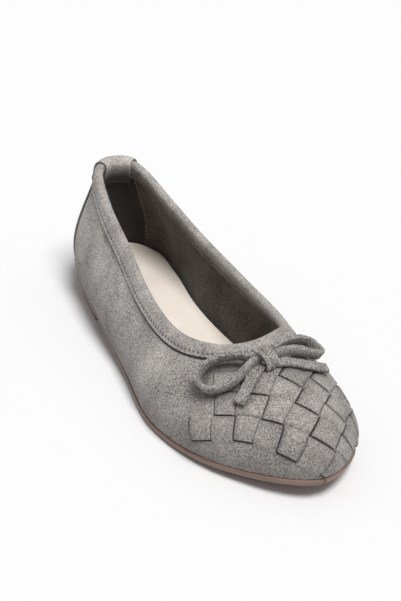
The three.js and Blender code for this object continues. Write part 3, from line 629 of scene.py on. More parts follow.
@dataclass(frozen=True)
class Suede:
    """Brushed suede: a soft nap of light and dark fibres, with patches where it was stroked."""

    name: str
    dark: tuple[float, float, float]
    light: tuple[float, float, float]
    # Near-black for raw cut edges and for painted shade and shadow
    raw_and_shade: tuple[float, float, float] = (0.035, 0.03, 0.028)
    fleck: float = 0.0007
    fleck_share: float = 0.75
    fleck_range: tuple[float, float] = (0.41, 0.59)
    patch: float = 0.018
    patch_share: float = 0.4
    patch_range: tuple[float, float] = (0.3, 0.7)
    nap: float = 0.0004
    nap_size: float = 0.8
    nap_strength: float = 0.8
    fine: float = 0.75
    hollow: float = 0.006
    hollow_depth: float = 0.0006
    hollow_strength: float = 0.35

    def make(self) -> bpy.types.Material:
        """Builds the suede's nodes and returns the material."""
        nodes = Nodes(self.name).set(Roughness=0.95, Sheen_Weight=0.25, Sheen_Roughness=0.5)
        nodes.shader.inputs["Specular IOR Level"].default_value = 0.15
        flecks = nodes.spread(nodes.noise(self.fleck, 4.0, roughness=self.fine), *self.fleck_range)
        patches = nodes.spread(nodes.noise(self.patch, 3.0, roughness=0.6), *self.patch_range)
        tone = nodes.math("ADD", nodes.math("MULTIPLY", flecks, self.fleck_share),
                          nodes.math("MULTIPLY", patches, self.patch_share))
        whole = self.fleck_share + self.patch_share
        colour = nodes.blend(nodes.math("MULTIPLY", tone, 1.0 / whole), self.dark, self.light)
        # The shade attribute blends towards it: raw edges and brushed tones, and painted shade and shadow
        colour = nodes.blend(nodes.spread(nodes.shade, 0.0, 1.0), colour, self.raw_and_shade)
        hollows = nodes.bump(nodes.noise(self.hollow, 2.0), self.hollow_depth, self.hollow_strength)
        fibres = nodes.noise(self.fleck * self.nap_size, 3.0, roughness=self.fine)
        relief = nodes.bump(fibres, self.nap, self.nap_strength, hollows)
        return nodes.finish(colour, relief)


@dataclass(frozen=True)
class Leather:
    """Smooth leather: soft clouds of colour, fine creases and a satin gloss."""

    name: str
    dark: tuple[float, float, float]
    light: tuple[float, float, float]
    roughness: float
    coat: float
    grain: float
    depth: float
    stretch: tuple[float, float, float] = (1.0, 1.0, 1.0)
    seam: tuple[float, float, float] = (0.03, 0.022, 0.018)
    cloud: float = 0.018
    cloud_share: float = 0.5
    soft: float = 0.012
    soft_depth: float = 4.0
    gloss_spread: float = 0.07

    def make(self) -> bpy.types.Material:
        """Builds the leather's nodes and returns the material."""
        nodes = Nodes(self.name).set(Roughness=self.roughness, Coat_Weight=self.coat, Coat_Roughness=0.4)
        clouds = nodes.spread(nodes.noise(self.cloud, 3.0, self.stretch, 0.6), 0.3, 0.7)
        grain = nodes.noise(self.grain, 3.0, self.stretch, 0.65)
        tone = nodes.math("ADD", nodes.math("MULTIPLY", clouds, self.cloud_share),
                          nodes.math("MULTIPLY", grain, 1.0 - self.cloud_share))
        colour = nodes.blend(tone, self.dark, self.light)
        colour = nodes.blend(nodes.spread(nodes.shade, 0.1, 0.9), colour, self.seam)
        soft = nodes.bump(nodes.noise(self.soft, 2.0, self.stretch), self.depth * self.soft_depth, 0.4)
        relief = nodes.bump(grain, self.depth, 0.7, soft)
        duller, glossier = self.roughness - self.gloss_spread, self.roughness + self.gloss_spread
        rough = nodes.spread(grain, 0.3, 0.7, duller, glossier)
        return nodes.finish(colour, relief, rough)


FINISHES = {
    Finish.SUEDE: Suede("upper_suede", (0.055, 0.0495, 0.046), (0.64, 0.6, 0.565)),
    Finish.TRIM: Suede("trim_suede", (0.08, 0.073, 0.068), (0.64, 0.597, 0.563), patch=0.012),
    # A lighter copy of the upper's suede: painted light on the back strip's top
    Finish.STRIP: Suede("strip_suede_lit", (0.1, 0.091, 0.085), (0.73, 0.687, 0.65), patch=0.01),
    Finish.BOW: Suede("bow_suede", (0.035, 0.032, 0.03), (0.56, 0.524, 0.492), fleck=0.0008,
                      fleck_share=0.85, patch=0.006, patch_share=0.25, nap=0.0007),
    Finish.LINING: Suede("lining_leather", (0.016, 0.0116, 0.0096), (0.165, 0.13, 0.11), fleck=0.0008,
                         patch=0.014, patch_share=0.7, nap=0.00025),
    Finish.INSOLE: Leather("insole_leather", (0.84, 0.75, 0.655), (0.92, 0.845, 0.755),
                           roughness=0.42, coat=0.25, grain=0.0016, depth=0.00008),
    Finish.OUTSOLE: Leather("outsole_rubber", (0.15, 0.088, 0.066), (0.27, 0.175, 0.14),
                            roughness=0.5, coat=0.1, grain=0.0008, depth=0.00008, stretch=(1.0, 1.0, 6.0)),
    Finish.HEEL: Leather("stacked_heel_leather", (0.1, 0.055, 0.04), (0.23, 0.14, 0.108),
                         roughness=0.48, coat=0.15, grain=0.0006, depth=0.0001, stretch=(1.0, 1.0, 14.0)),
    Finish.THREAD: Leather("thread", (0.2, 0.186, 0.174), (0.42, 0.395, 0.37),
                           roughness=0.8, coat=0.0, grain=0.0004, depth=0.0001),
    Finish.PALE_THREAD: Leather("pale_thread", (0.3, 0.27, 0.245), (0.5, 0.46, 0.43),
                                roughness=0.8, coat=0.0, grain=0.0004, depth=0.0001),
}
MATERIALS: dict[Finish, bpy.types.Material] = {}


def dress(piece: bpy.types.Object, *finishes: Finish) -> None:
    """Gives a piece its finishes, one for each of its material slots.

    Args:
        piece: The piece.
        finishes: Its finishes, in the order of its slots.
    """
    piece.data.materials.clear()
    for finish in finishes:
        if finish not in MATERIALS:
            MATERIALS[finish] = FINISHES[finish].make()
        piece.data.materials.append(MATERIALS[finish])


def settle(piece: bpy.types.Object, slot: str, *nodes: str) -> None:
    """Lets a piece ride on the shoe and stand for nodes, and reports it.

    Args:
        piece: The finished piece.
        slot: The record's material slot; not used.
        nodes: The nodes that it replaces.
    """
    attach(piece, "root")
    if nodes:
        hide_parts(*nodes)
    LOG.info("%s: %d faces, for %s", piece.name, len(piece.data.polygons), ", ".join(nodes) or "trim")


@dataclass(frozen=True)
class Edge:
    """An edge between the weave's columns: its angle, and how far it fans out over a fanned row."""

    angle: float
    fan: float


@dataclass(frozen=True)
class Row:
    """A row of the weave: its edges' angles, its first column and where its last one ends."""

    high: float
    low: float
    first: int
    reach: float
    is_fanned: bool = False


@dataclass
class Weave:
    """The woven toe: loose strips drawn over and under strips cut in the vamp."""

    raised: float = 0.00115
    sunk: float = -0.0008
    at_edge: float = 0.0001
    thickness: float = 0.0009
    slit: float = 0.0004
    turn_share: float = 0.16
    # Painted shadow in the cracks, and painted shade that fades in from each crossing's ends
    crack_from: float = 0.04
    crack_to: float = 0.08
    faint: float = 0.3
    soft_to: float = 0.3
    soft_depth: float = 0.22
    lead: float = 4.0
    lead_steps: int = 12
    lead_sink: float = 0.00015
    plane_share: float = 0.6
    foot_clearance: float = 0.0012
    rim_clearance: float = 0.0008
    margin: float = 2.0
    front: float = 0.2 * LENGTH
    curl: float = 0.00012
    cut_edge: float = 0.00018
    pinched: float = 3e-5
    sharp_angle: float = 40.0
    deepest_tone: float = 0.1
    tones: int = 8
    stations: tuple[float, ...] = (
        0, 0.02, 0.045, 0.065, 0.085, 0.12, 0.16, 0.21, 0.3, 0.4, 0.5, 0.6, 0.7, 0.79, 0.84, 0.88, 0.915,
        0.935, 0.955, 0.98,
    )
    steps_across: int = 10
    edges: tuple[Edge, ...] = (
        Edge(-60, -4.8), Edge(-41.5, -4.4), Edge(-22.5, -1.7), Edge(1.5, -1), Edge(20, 4.8), Edge(38.3, 5),
        Edge(57, 2.5),
    )
    rows: tuple[Row, ...] = (
        Row(56.5, 38, 0, 64, True), Row(38, 19.5, 1, 71), Row(19.5, 1.5, 1, 74), Row(1.5, -16.5, 2, 75),
        Row(-16.5, -35, 3, 74), Row(-35, -54, 4, 71),
    )
    centre: tuple[float, float, float] = (0.826 * LENGTH, 0.012 * BALL_WIDTH, 0.064 * THROAT_HEIGHT)

    def angles(self, points: np.ndarray) -> np.ndarray:
        """Returns the angles of the two planes through points, as seen from the weave's centre."""
        ray = points - np.array(self.centre)
        reach = np.linalg.norm(ray, axis=-1)
        across = np.stack([ray[..., 0] + ray[..., 1], ray[..., 0] - ray[..., 1]], axis=-1) / math.sqrt(2)
        plane = np.degrees(np.arctan2(across, ray[..., 2:3]))
        tilt = np.degrees(np.arcsin(np.clip(across / reach[..., None], -1, 1)))
        return tilt + (plane - tilt) * self.plane_share

    def slit_angle(self) -> float:
        """Returns half a slit's width as an angle."""
        return math.degrees(self.slit / 2 / (THROAT_HEIGHT - self.centre[2]))

    def column_edge(self, row: Row, index: int, share: np.ndarray) -> np.ndarray:
        """Gives a column edge's angle over a row.

        Args:
            row: The row.
            index: The edge, of which the last one is the row's reach.
            share: Shares of the row's height.

        Returns:
            The angles.
        """
        if index >= len(self.edges):
            return np.full_like(share, row.reach)
        edge = self.edges[index]
        return edge.angle + (edge.fan * share if row.is_fanned else 0.0 * share)

    def covers(self, angles: np.ndarray) -> np.ndarray:
        """Returns whether each pair of angles lies on a crossing of the weave."""
        inside = np.zeros(angles.shape[:-1], bool)
        for row in self.rows:
            share = np.clip((angles[..., 1] - row.low) / (row.high - row.low), 0, 1)
            left = self.column_edge(row, row.first, share)
            is_in_row = (angles[..., 1] <= row.high) & (angles[..., 1] >= row.low)
            inside |= is_in_row & (angles[..., 0] >= left) & (angles[..., 0] <= row.reach)
        return inside

    def tone(self, column: int, row: int) -> float:
        """Returns how much darker a crossing's strip was brushed, up to the deepest tone."""
        mixed = (column * 7 + row * 5 + column * row * 3) % self.tones
        return self.deepest_tone * mixed / (self.tones - 1)

    def is_loose_over(self, column: int, row: int) -> bool:
        """Returns whether the loose strip lies on top where a column crosses a row."""
        return (column + row) % 2 == 0

    def wave(self, t: np.ndarray, is_over: bool, is_after_over: bool, is_before_over: bool) -> np.ndarray:
        """Gives a strip's height over one crossing.

        Args:
            t: Shares of the way over the crossing.
            is_over: Whether the strip is on top here.
            is_after_over: Whether it is on top at the crossing before.
            is_before_over: Whether it is on top at the crossing after.

        Returns:
            Heights over the wall.
        """
        top = self.raised if is_over else self.sunk
        enter = self.at_edge if is_over != is_after_over else top
        leave = self.at_edge if is_over != is_before_over else top
        rise = np.sin(np.clip(t / self.turn_share, 0, 1) * math.pi / 2)
        fall = np.sin(np.clip((1 - t) / self.turn_share, 0, 1) * math.pi / 2)
        return np.where(t < 0.5, enter + (top - enter) * rise, leave + (top - leave) * fall)

    def crack(self, t: float, at_start: float, at_end: float) -> float:
        """Gives the painted shadow on a strip where it comes out from under another, and the painted shade
        near a crossing's ends.

        Args:
            t: A share of the way over a crossing.
            at_start: How dark the crack at the crossing's start is.
            at_end: How dark the one at its end is.

        Returns:
            The darkness, down to 0 away from the cracks.
        """
        dark = 0.0
        for near, depth in ((t, at_start), (1.0 - t, at_end)):
            crack = min(max((self.crack_to - near) / (self.crack_to - self.crack_from), 0.0), 1.0)
            soft = self.soft_depth * min(max(1.0 - near / self.soft_to, 0.0), 1.0)
            dark = max(dark, depth * max(crack, soft))
        return dark


class Wall:
    """Finds places on the last's front by readings of its points."""

    GRID = 60
    ROUNDS = 10
    LONGEST_ROUND = 0.02
    LONGEST_RISE = 0.1

    def __init__(self, read: Callable[[np.ndarray], np.ndarray]) -> None:
        """Takes samples of the readings over the front.

        Args:
            read: Gives two readings for each point.
        """
        self.read = read
        ends = LAST.share_of("ball, lateral"), LAST.share_of("ball, medial")
        u, v = np.meshgrid(np.linspace(*ends, self.GRID + 1), np.linspace(0, 1, self.GRID + 1), indexing="ij")
        self.places = np.stack([u.ravel(), v.ravel()], axis=-1)
        self.samples = read(LAST.wall(self.places[:, 0], self.places[:, 1]))

    def find(self, targets: np.ndarray) -> tuple[np.ndarray, np.ndarray]:
        """Finds where the readings meet their targets.

        Args:
            targets: Two readings for each wanted place.

        Returns:
            Shares round and up the wall.
        """
        shape = targets.shape[:-1]
        wanted = targets.reshape(-1, 2)
        nearest = [np.argmin(((self.samples - target) ** 2).sum(axis=1)) for target in wanted]
        u, v = self.places[nearest].T.copy()
        step = Last.STEP
        for _ in range(self.ROUNDS):
            here = self.read(LAST.wall(u, v))
            by_u = (self.read(LAST.wall(u + step, v)) - here) / step
            by_v = (self.read(LAST.wall(u, v + step)) - here) / step
            area = by_u[:, 0] * by_v[:, 1] - by_u[:, 1] * by_v[:, 0]
            miss = wanted - here
            round_step = (miss[:, 0] * by_v[:, 1] - miss[:, 1] * by_v[:, 0]) / area
            rise_step = (by_u[:, 0] * miss[:, 1] - by_u[:, 1] * miss[:, 0]) / area
            u = u + np.clip(round_step, -self.LONGEST_ROUND, self.LONGEST_ROUND)
            v = np.clip(v + np.clip(rise_step, -self.LONGEST_RISE, self.LONGEST_RISE), 0, 1)
        return u.reshape(shape), v.reshape(shape)


@dataclass(frozen=True)
class Crease:
    """A soft trough, or a ridge where depth is negative, from one place of the wall to another."""

    start: tuple[float, float]
    end: tuple[float, float]
    width: float
    depth: float


@dataclass
class Upper:
    """The suede upper with its lining and its woven toe."""

    weave: Weave
    footprint: np.ndarray
    # Painted shadow of the bow on the vamp and the strips, round the bands' footprint
    bow_shadow: float = 0.7
    bow_shadow_reach: float = 0.0034
    around: int = 480
    outside_steps: int = 56
    inside_steps: int = 30
    seam_round: float = 0.957
    seam_end: float = 0.12
    seam_stitches: int = 20
    seam_thread: tuple[float, float] = (0.0013, 0.00045)
    counter_shade: float = 0.9
    counter_fade: float = 0.004
    crease_fade: tuple[float, float] = (0.12, 0.2)
    # Painted shade that darkens the suede just above the sole
    low_depth: float = 0.4
    low_reach: float = 0.6
    creases: tuple[Crease, ...] = (
        Crease((0.115, 0.35), (0.135, 0.8), 0.008, 0.0008),
        Crease((0.17, 0.2), (0.2, 0.75), 0.01, -0.0005),
        Crease((0.235, 0.3), (0.255, 0.7), 0.009, 0.0007),
        Crease((0.315, 0.15), (0.33, 0.6), 0.006, 0.0006),
        Crease((0.345, 0.2), (0.355, 0.55), 0.005, -0.0004),
        Crease((0.775, 0.3), (0.75, 0.8), 0.009, 0.0008),
        Crease((0.85, 0.25), (0.86, 0.75), 0.01, 0.0007),
        Crease((0.69, 0.2), (0.68, 0.6), 0.006, 0.0006),
    )

    def dents(self, points: np.ndarray) -> np.ndarray:
        """Returns how far each point lies below the smooth wall, in its creases."""
        depth = np.zeros(points.shape[:-1])
        for crease in self.creases:
            start, end = (LAST.wall(*place) for place in (crease.start, crease.end))
            run = end - start
            share = np.clip(((points - start) @ run) / (run @ run), 0, 1)
            away = np.linalg.norm(points - start - share[..., None] * run, axis=-1)
            depth += crease.depth * np.exp(-((away / crease.width) ** 2))
        return depth

    def shell(self) -> bpy.types.Object:
        """Builds the wall: suede outside, lining inside, open at the collar and underneath."""
        u = np.linspace(0, 1, self.around + 1)[:, None]
        v_out = np.linspace(0, 1, self.outside_steps + 1)[None, :]
        v_in = np.linspace(1, 0, self.inside_steps + 1)[None, :]
        outside = LAST.wall(u, v_out)
        fade = smooth(v_out / self.crease_fade[0]) * smooth((1 - v_out) / self.crease_fade[1])
        normal = LAST.normal(u, v_out)
        outside = outside - normal * (self.dents(outside) * fade)[..., None]
        inside = LAST.off_wall(u, v_in, np.full((self.around + 1, self.inside_steps + 1), -UPPER_WALL))
        inside[:, -1, 2] = bottom_height(inside[:, -1, 0])
        points = np.concatenate([outside, inside, outside[:, :1]], axis=1)
        shade = np.zeros(points.shape[:-1])
        # Painted shade on the suede: near the sole, round the bow, and dark under the weave where the cracks
        # show it
        nap = self.low_shade(v_out) + self.bow_shadow_at(LAST.wall(u, v_out))
        shade[:, : self.outside_steps + 1] = np.maximum(self.shade_under_weave(LAST.wall(u, v_out)), nap)
        # The lining's back panel behind the seam is darker, deepened with painted shade of the heel cup
        from_back = np.abs(np.mod(u + 0.5, 1.0) - 0.5)
        behind_seam = smooth((1 - self.seam_round - from_back) / self.counter_fade)
        shade[:, self.outside_steps + 1 : -1] = self.counter_shade * behind_seam
        piece = lay("upper", points, shade=shade)
        dress(piece, Finish.SUEDE, Finish.LINING)
        column = np.arange(len(piece.data.polygons)) // self.around
        piece.data.polygons.foreach_set("material_index", (column > self.outside_steps).astype(np.int32))
        close(piece)
        round_off(piece)
        return piece

    def low_shade(self, v: np.ndarray) -> np.ndarray:
        """Returns the painted shade just above the sole, where the wall turns under, at shares of the wall's
        height.
        """
        return self.low_depth * (1 - smooth(v / self.low_reach))

    def bow_shadow_at(self, points: np.ndarray) -> np.ndarray:
        """Returns the painted shadow of the bow on the suede at points, beside and under the bands."""
        away = np.full(points.shape[:-1], 1.0)
        for place in self.footprint:
            away = np.minimum(away, np.linalg.norm(points - place, axis=-1))
        return self.bow_shadow * np.exp(-((away / self.bow_shadow_reach) ** 2))

    def shade_under_weave(self, points: np.ndarray) -> np.ndarray:
        """Returns 1 for points well under the weave's strips, painted dark as the shade seen through the
        cracks, or else 0.
        """
        margin = self.weave.margin
        angles = self.weave.angles(points)
        dark = points[..., 0] > self.weave.centre[0] - self.weave.front
        for shift in ((-margin, -margin), (-margin, margin), (margin, -margin), (margin, margin)):
            dark &= self.weave.covers(angles + np.array(shift))
        return dark.astype(float)

    def strips(self) -> bpy.types.Object:
        """Builds the weave's strips, each over and under the ones that it crosses."""
        weave, wall = self.weave, Wall(self.weave.angles)
        pieces = [self.loose_strip(wall, index) for index in range(len(weave.rows))]
        pieces += [self.vamp_strip(wall, column) for column in range(len(weave.edges))]
        piece = join("woven_strips", pieces)
        dress(piece, Finish.SUEDE)
        round_off(piece, self.weave.sharp_angle)
        return piece

    def loose_strip(self, wall: Wall, index: int) -> bpy.types.Object:
        """Builds the loose strip of one row.

        Args:
            wall: Finds places by the weave's angles.
            index: The row.

        Returns:
            The strip.
        """
        weave, row, slit = self.weave, self.weave.rows[index], self.weave.slit_angle()
        across = np.linspace(0, 1, weave.steps_across + 1)
        targets, heights, shade = [], [], []
        for column in range(row.first, len(weave.edges)):
            is_last = column == len(weave.edges) - 1
            over = weave.is_loose_over(column, index)
            before = column > row.first and weave.is_loose_over(column - 1, index)
            after = not is_last and weave.is_loose_over(column + 1, index)
            for t in weave.stations + ((1.0,) if is_last else ()):
                left = weave.column_edge(row, column, across)
                right = weave.column_edge(row, column + 1, across)
                beta = row.low + slit + (row.high - row.low - 2 * slit) * across
                targets.append(np.stack([left + (right - left) * t, beta], axis=-1))
                heights.append(weave.wave(t, over, before, after))
                # Painted shadow where the strip comes out from under a vamp strip
                dark = weave.crack(t, 1.0, weave.faint) if over else weave.crack(t, weave.faint, 1.0)
                shade.append(weave.tone(column, index) + dark)
        return self.strip(wall, f"loose_strip_{index}", np.array(targets), np.array(heights), np.array(shade))

    def vamp_strip(self, wall: Wall, column: int) -> bpy.types.Object:
        """Builds the strip of one column, cut in the vamp and level with it at both ends.

        Args:
            wall: Finds places by the weave's angles.
            column: The column.

        Returns:
            The strip.
        """
        weave, slit = self.weave, self.weave.slit_angle()
        inside = [index for index, row in enumerate(weave.rows) if row.first <= column]
        across = np.linspace(0, 1, weave.steps_across + 1)
        targets, heights, shade = [], [], []

        def add(row: Row, t: float, height: float, dark: float) -> None:
            """Adds one row of the strip's points."""
            share = np.full_like(across, 1 - t)
            left = weave.column_edge(row, column, share) + slit
            right = weave.column_edge(row, column + 1, share) - slit
            beta = np.full_like(across, row.high + (row.low - row.high) * t)
            targets.append(np.stack([left + (right - left) * across, beta], axis=-1))
            heights.append(height)
            shade.append(dark)

        start = weave.rows[inside[0]]
        is_under = weave.is_loose_over(column, inside[0])
        lead, sink = weave.lead / (start.high - start.low), weave.lead_sink
        for t in np.linspace(-lead, 0, weave.lead_steps, endpoint=False):
            level = weave.at_edge if is_under else weave.raised
            rise = float(smooth(1 + t / lead))
            add(start, t, (level + sink) * rise - sink, weave.crack(-t, float(is_under), 0.0))
        for index in inside:
            over = not weave.is_loose_over(column, index)
            before = index > inside[0] and not weave.is_loose_over(column, index - 1)
            before = before or (index == inside[0] and over)
            is_last = index == inside[-1]
            after = not is_last and not weave.is_loose_over(column, index + 1)
            for t in weave.stations + ((1.0,) if is_last else ()):
                dark = weave.tone(column, index) + weave.crack(t, float(not over), float(over))
                add(weave.rows[index], t, weave.wave(t, over, before, after), dark)
        return self.strip(wall, f"vamp_strip_{column}", np.array(targets), np.array(heights), np.array(shade))

    def strip(self, wall: Wall, name: str, targets: np.ndarray, heights: np.ndarray,
              shade: np.ndarray) -> bpy.types.Object:
        """Builds a strip from its course over the wall.

        Args:
            wall: Finds places by the weave's angles.
            name: The strip's name.
            targets: Angles of its points, row by row along it.
            heights: Its height over the wall at each row.
            shade: How dark it is at each row.

        Returns:
            The strip, with its thickness and its cut edges.
        """
        weave = self.weave
        u, v = wall.find(targets)
        lowest = weave.foot_clearance / THROAT_HEIGHT
        highest = LAST.below_rim(u, np.full_like(u, BINDING_WIDTH + weave.rim_clearance))
        v = np.clip(v, lowest, highest)
        across = np.linspace(-1, 1, targets.shape[1])
        curl = weave.curl * across**6
        points = LAST.off_wall(u, v, heights[:, None] + curl[None, :])
        piece = lay(name, points, outward=LAST.normal(u, v),
                    shade=shade[:, None] + self.low_shade(v) + self.bow_shadow_at(points))
        merge(piece, weave.pinched)
        bpy.ops.object.mode_set(mode="OBJECT")
        thicken(piece, weave.thickness, weave.cut_edge)
        return piece

    def lining_seam(self, u: float) -> bpy.types.Object:
        """Sews a row of pale stitches down the lining.

        Args:
            u: Its share of the way round.

        Returns:
            The stitches.
        """
        top = float(LAST.below_rim(np.array(u), np.array(BINDING_FOLD + 0.001)))
        v = np.linspace(top, self.seam_end, self.seam_stitches)
        rounds = np.full_like(v, u)
        height = np.full_like(v, -UPPER_WALL - 0.0001)
        places = LAST.off_wall(rounds, v, height)
        ahead = LAST.off_wall(rounds, v - Last.STEP, height) - places
        inwards = -LAST.normal(rounds, v)
        return Stitches(*self.seam_thread).sew("lining_seam", places, ahead, inwards, Finish.PALE_THREAD)

    def build(self) -> None:
        """Builds and settles the upper's pieces."""
        settle(self.shell(), "upper_suede", "upper")
        settle(self.strips(), "upper_suede")
        settle(self.lining_seam(self.seam_round), "upper_suede")


@dataclass
class Stitches:
    """A row of sewing: short threads that sink in at both ends."""

    length: float = 0.0014
    thickness: float = 0.0003
    flatness: float = 1.15

    def sew(self, name: str, places: np.ndarray, ahead: np.ndarray, up: np.ndarray,
            finish: Finish = Finish.THREAD) -> bpy.types.Object:
        """Sews a row of stitches.

        Args:
            name: The piece's name.
            places: The middle of each stitch.
            ahead: Directions along them.
            up: Directions out of the leather.
            finish: The thread's finish.

        Returns:
            All stitches as one piece.
        """
        clear_selection()
        bpy.ops.mesh.primitive_uv_sphere_add(segments=8, ring_count=6, radius=0.5)
        template = bpy.context.object
        template.scale = (self.length, self.thickness * self.flatness, self.thickness)
        bpy.ops.object.transform_apply(location=False, rotation=False, scale=True)
        template.data.attributes.new("shade", "FLOAT", "POINT")
        pieces = []
        for place, along, out in zip(places - ORIGIN, unit(ahead), unit(up)):
            side = unit(np.cross(out, along))
            out = np.cross(along, side)
            copy = template.copy()
            copy.data = template.data.copy()
            turn = Matrix(np.stack([along, side, out], axis=1)).to_4x4()
            copy.matrix_world = Matrix.Translation(place) @ turn
            bpy.context.collection.objects.link(copy)
            pieces.append(copy)
        bpy.data.objects.remove(template)
        piece = join(name, pieces)
        dress(piece, finish)
        round_off(piece, ROUND_ANGLE)
        return piece


@dataclass
class Collar:
    """The folded suede binding round the collar, sewn outside and inside."""

    stitch_count: int = 158
    steps_per_stitch: int = 8
    seam_below: float = 0.0049
    inner_seam_below: float = 0.0048
    pucker: float = 0.0004
    hole: float = 0.00065
    hole_sharpness: float = 1.2
    stitch_heights: tuple[float, float] = (0.00112, 0.001)
    inside_shade: float = 0.62
    shade_span: float = 0.005
    samples: int = 4000
    # The first bends form a fringe past the lower edge, onto the wall, that carries the binding's painted
    # shadow
    profile: tuple[Bend, ...] = (
        Bend(BINDING_WIDTH), Bend(BINDING_WIDTH + 0.0009), Bend(BINDING_WIDTH + 0.0004, 0.0005),
        Bend(BINDING_WIDTH, 0.0006), Bend(BINDING_WIDTH, 0.00095), Bend(0.0069, 0.00112),
        Bend(0.0063, 0.0012), Bend(0.0057, 0.00121), Bend(0.0053, 0.0012), Bend(0.0051, 0.00119),
        Bend(0.0049, 0.00119), Bend(0.0047, 0.00119), Bend(0.0045, 0.0012), Bend(0.004, 0.00122),
        Bend(0.0032, 0.00127), Bend(0.0024, 0.00133), Bend(0.0016, 0.00138), Bend(0.0008, 0.0014),
        *(Bend(turn=angle, height=0.0014) for angle in HALF_TURN),
        Bend(-0.001, 0.00135), Bend(-0.002, 0.00125), Bend(-0.003, 0.00118), Bend(-0.0038, 0.00112),
        Bend(-0.0044, 0.00108), Bend(-0.0048, 0.00106), Bend(-0.0052, 0.00106), Bend(-0.006, 0.00108),
        Bend(-0.0068, 0.00108), Bend(-0.0073, 0.001), Bend(-BINDING_FOLD, 0.0008), Bend(-BINDING_FOLD),
        Bend(-0.004), *(Bend(turn=angle) for angle in (180, 135, 90, 45, 0)), Bend(0.004),
        Bend(BINDING_WIDTH),
    )

    def rounds(self, count: int) -> np.ndarray:
        """Returns shares of the way round that lie evenly along the collar edge."""
        fine = np.linspace(0, 1, self.samples + 1)
        rim = LAST.wall(fine, np.ones_like(fine))
        walked = walk(rim)
        return np.interp(np.linspace(0, walked[-1], count + 1), walked, fine)

    def binding(self) -> bpy.types.Object:
        """Builds the binding, drawn in at each stitch."""
        count = self.stitch_count * self.steps_per_stitch
        u = self.rounds(count)
        phase = np.arange(count + 1) / self.steps_per_stitch * 2 * math.pi
        pull = 0.5 + 0.5 * np.cos(phase)
        columns, shades = [], []
        for bend in self.profile:
            points = LAST.over_edge(u, bend)
            # The binding's inner fold is darkened with painted shade
            shade = np.full(count + 1, self.inside_shade * min(max(-bend.below / self.shade_span, 0), 1))
            if bend.turn is None and bend.height > GAP * 2:
                seam = self.seam_below if bend.below > 0 else -self.inner_seam_below
                near = math.exp(-(((bend.below - seam) / self.hole) ** 2))
                normal = LAST.normal(u, LAST.below_rim(u, np.full_like(u, abs(bend.below))))
                draw = self.pucker * near * pull**2
                points = points - normal * draw[:, None] * math.copysign(1, bend.below)
                # Needle holes are painted dark: painted shade in the holes
                shade = np.maximum(shade, near * pull**self.hole_sharpness)
            # Raw cut edges are near-black, and the fringe past the lower edge is painted shadow under the
            # binding
            is_raw_edge_and_shadow = bend.below <= -BINDING_FOLD or bend.below >= BINDING_WIDTH
            columns.append(points)
            shades.append(np.full(count + 1, 1.0) if is_raw_edge_and_shadow else shade)
        piece = lay("collar_binding", np.stack(columns, axis=1), shade=np.stack(shades, axis=1))
        dress(piece, Finish.TRIM)
        close(piece)
        round_off(piece)
        return piece

    def seam(self, name: str, below: float, height: float) -> bpy.types.Object:
        """Sews the binding's stitches.

        Args:
            name: The piece's name.
            below: Their distance below the edge, negative inside.
            height: Their height over the wall.

        Returns:
            The stitches.
        """
        u = self.rounds(2 * self.stitch_count)[1::2]
        places = LAST.over_edge(u, Bend(below, height))
        ahead = LAST.over_edge(u + Last.STEP, Bend(below, height)) - places
        up = LAST.normal(u, LAST.below_rim(u, np.full_like(u, abs(below)))) * math.copysign(1, below)
        return Stitches().sew(name, places, ahead, up)

    def build(self) -> None:
        """Builds and settles the collar's pieces."""
        settle(self.binding(), "trim_suede", "collar_binding")
        outside, inside = self.stitch_heights
        settle(self.seam("collar_stitches_outside", self.seam_below, outside), "trim_suede")
        settle(self.seam("collar_stitches_inside", -self.inner_seam_below, inside), "trim_suede")


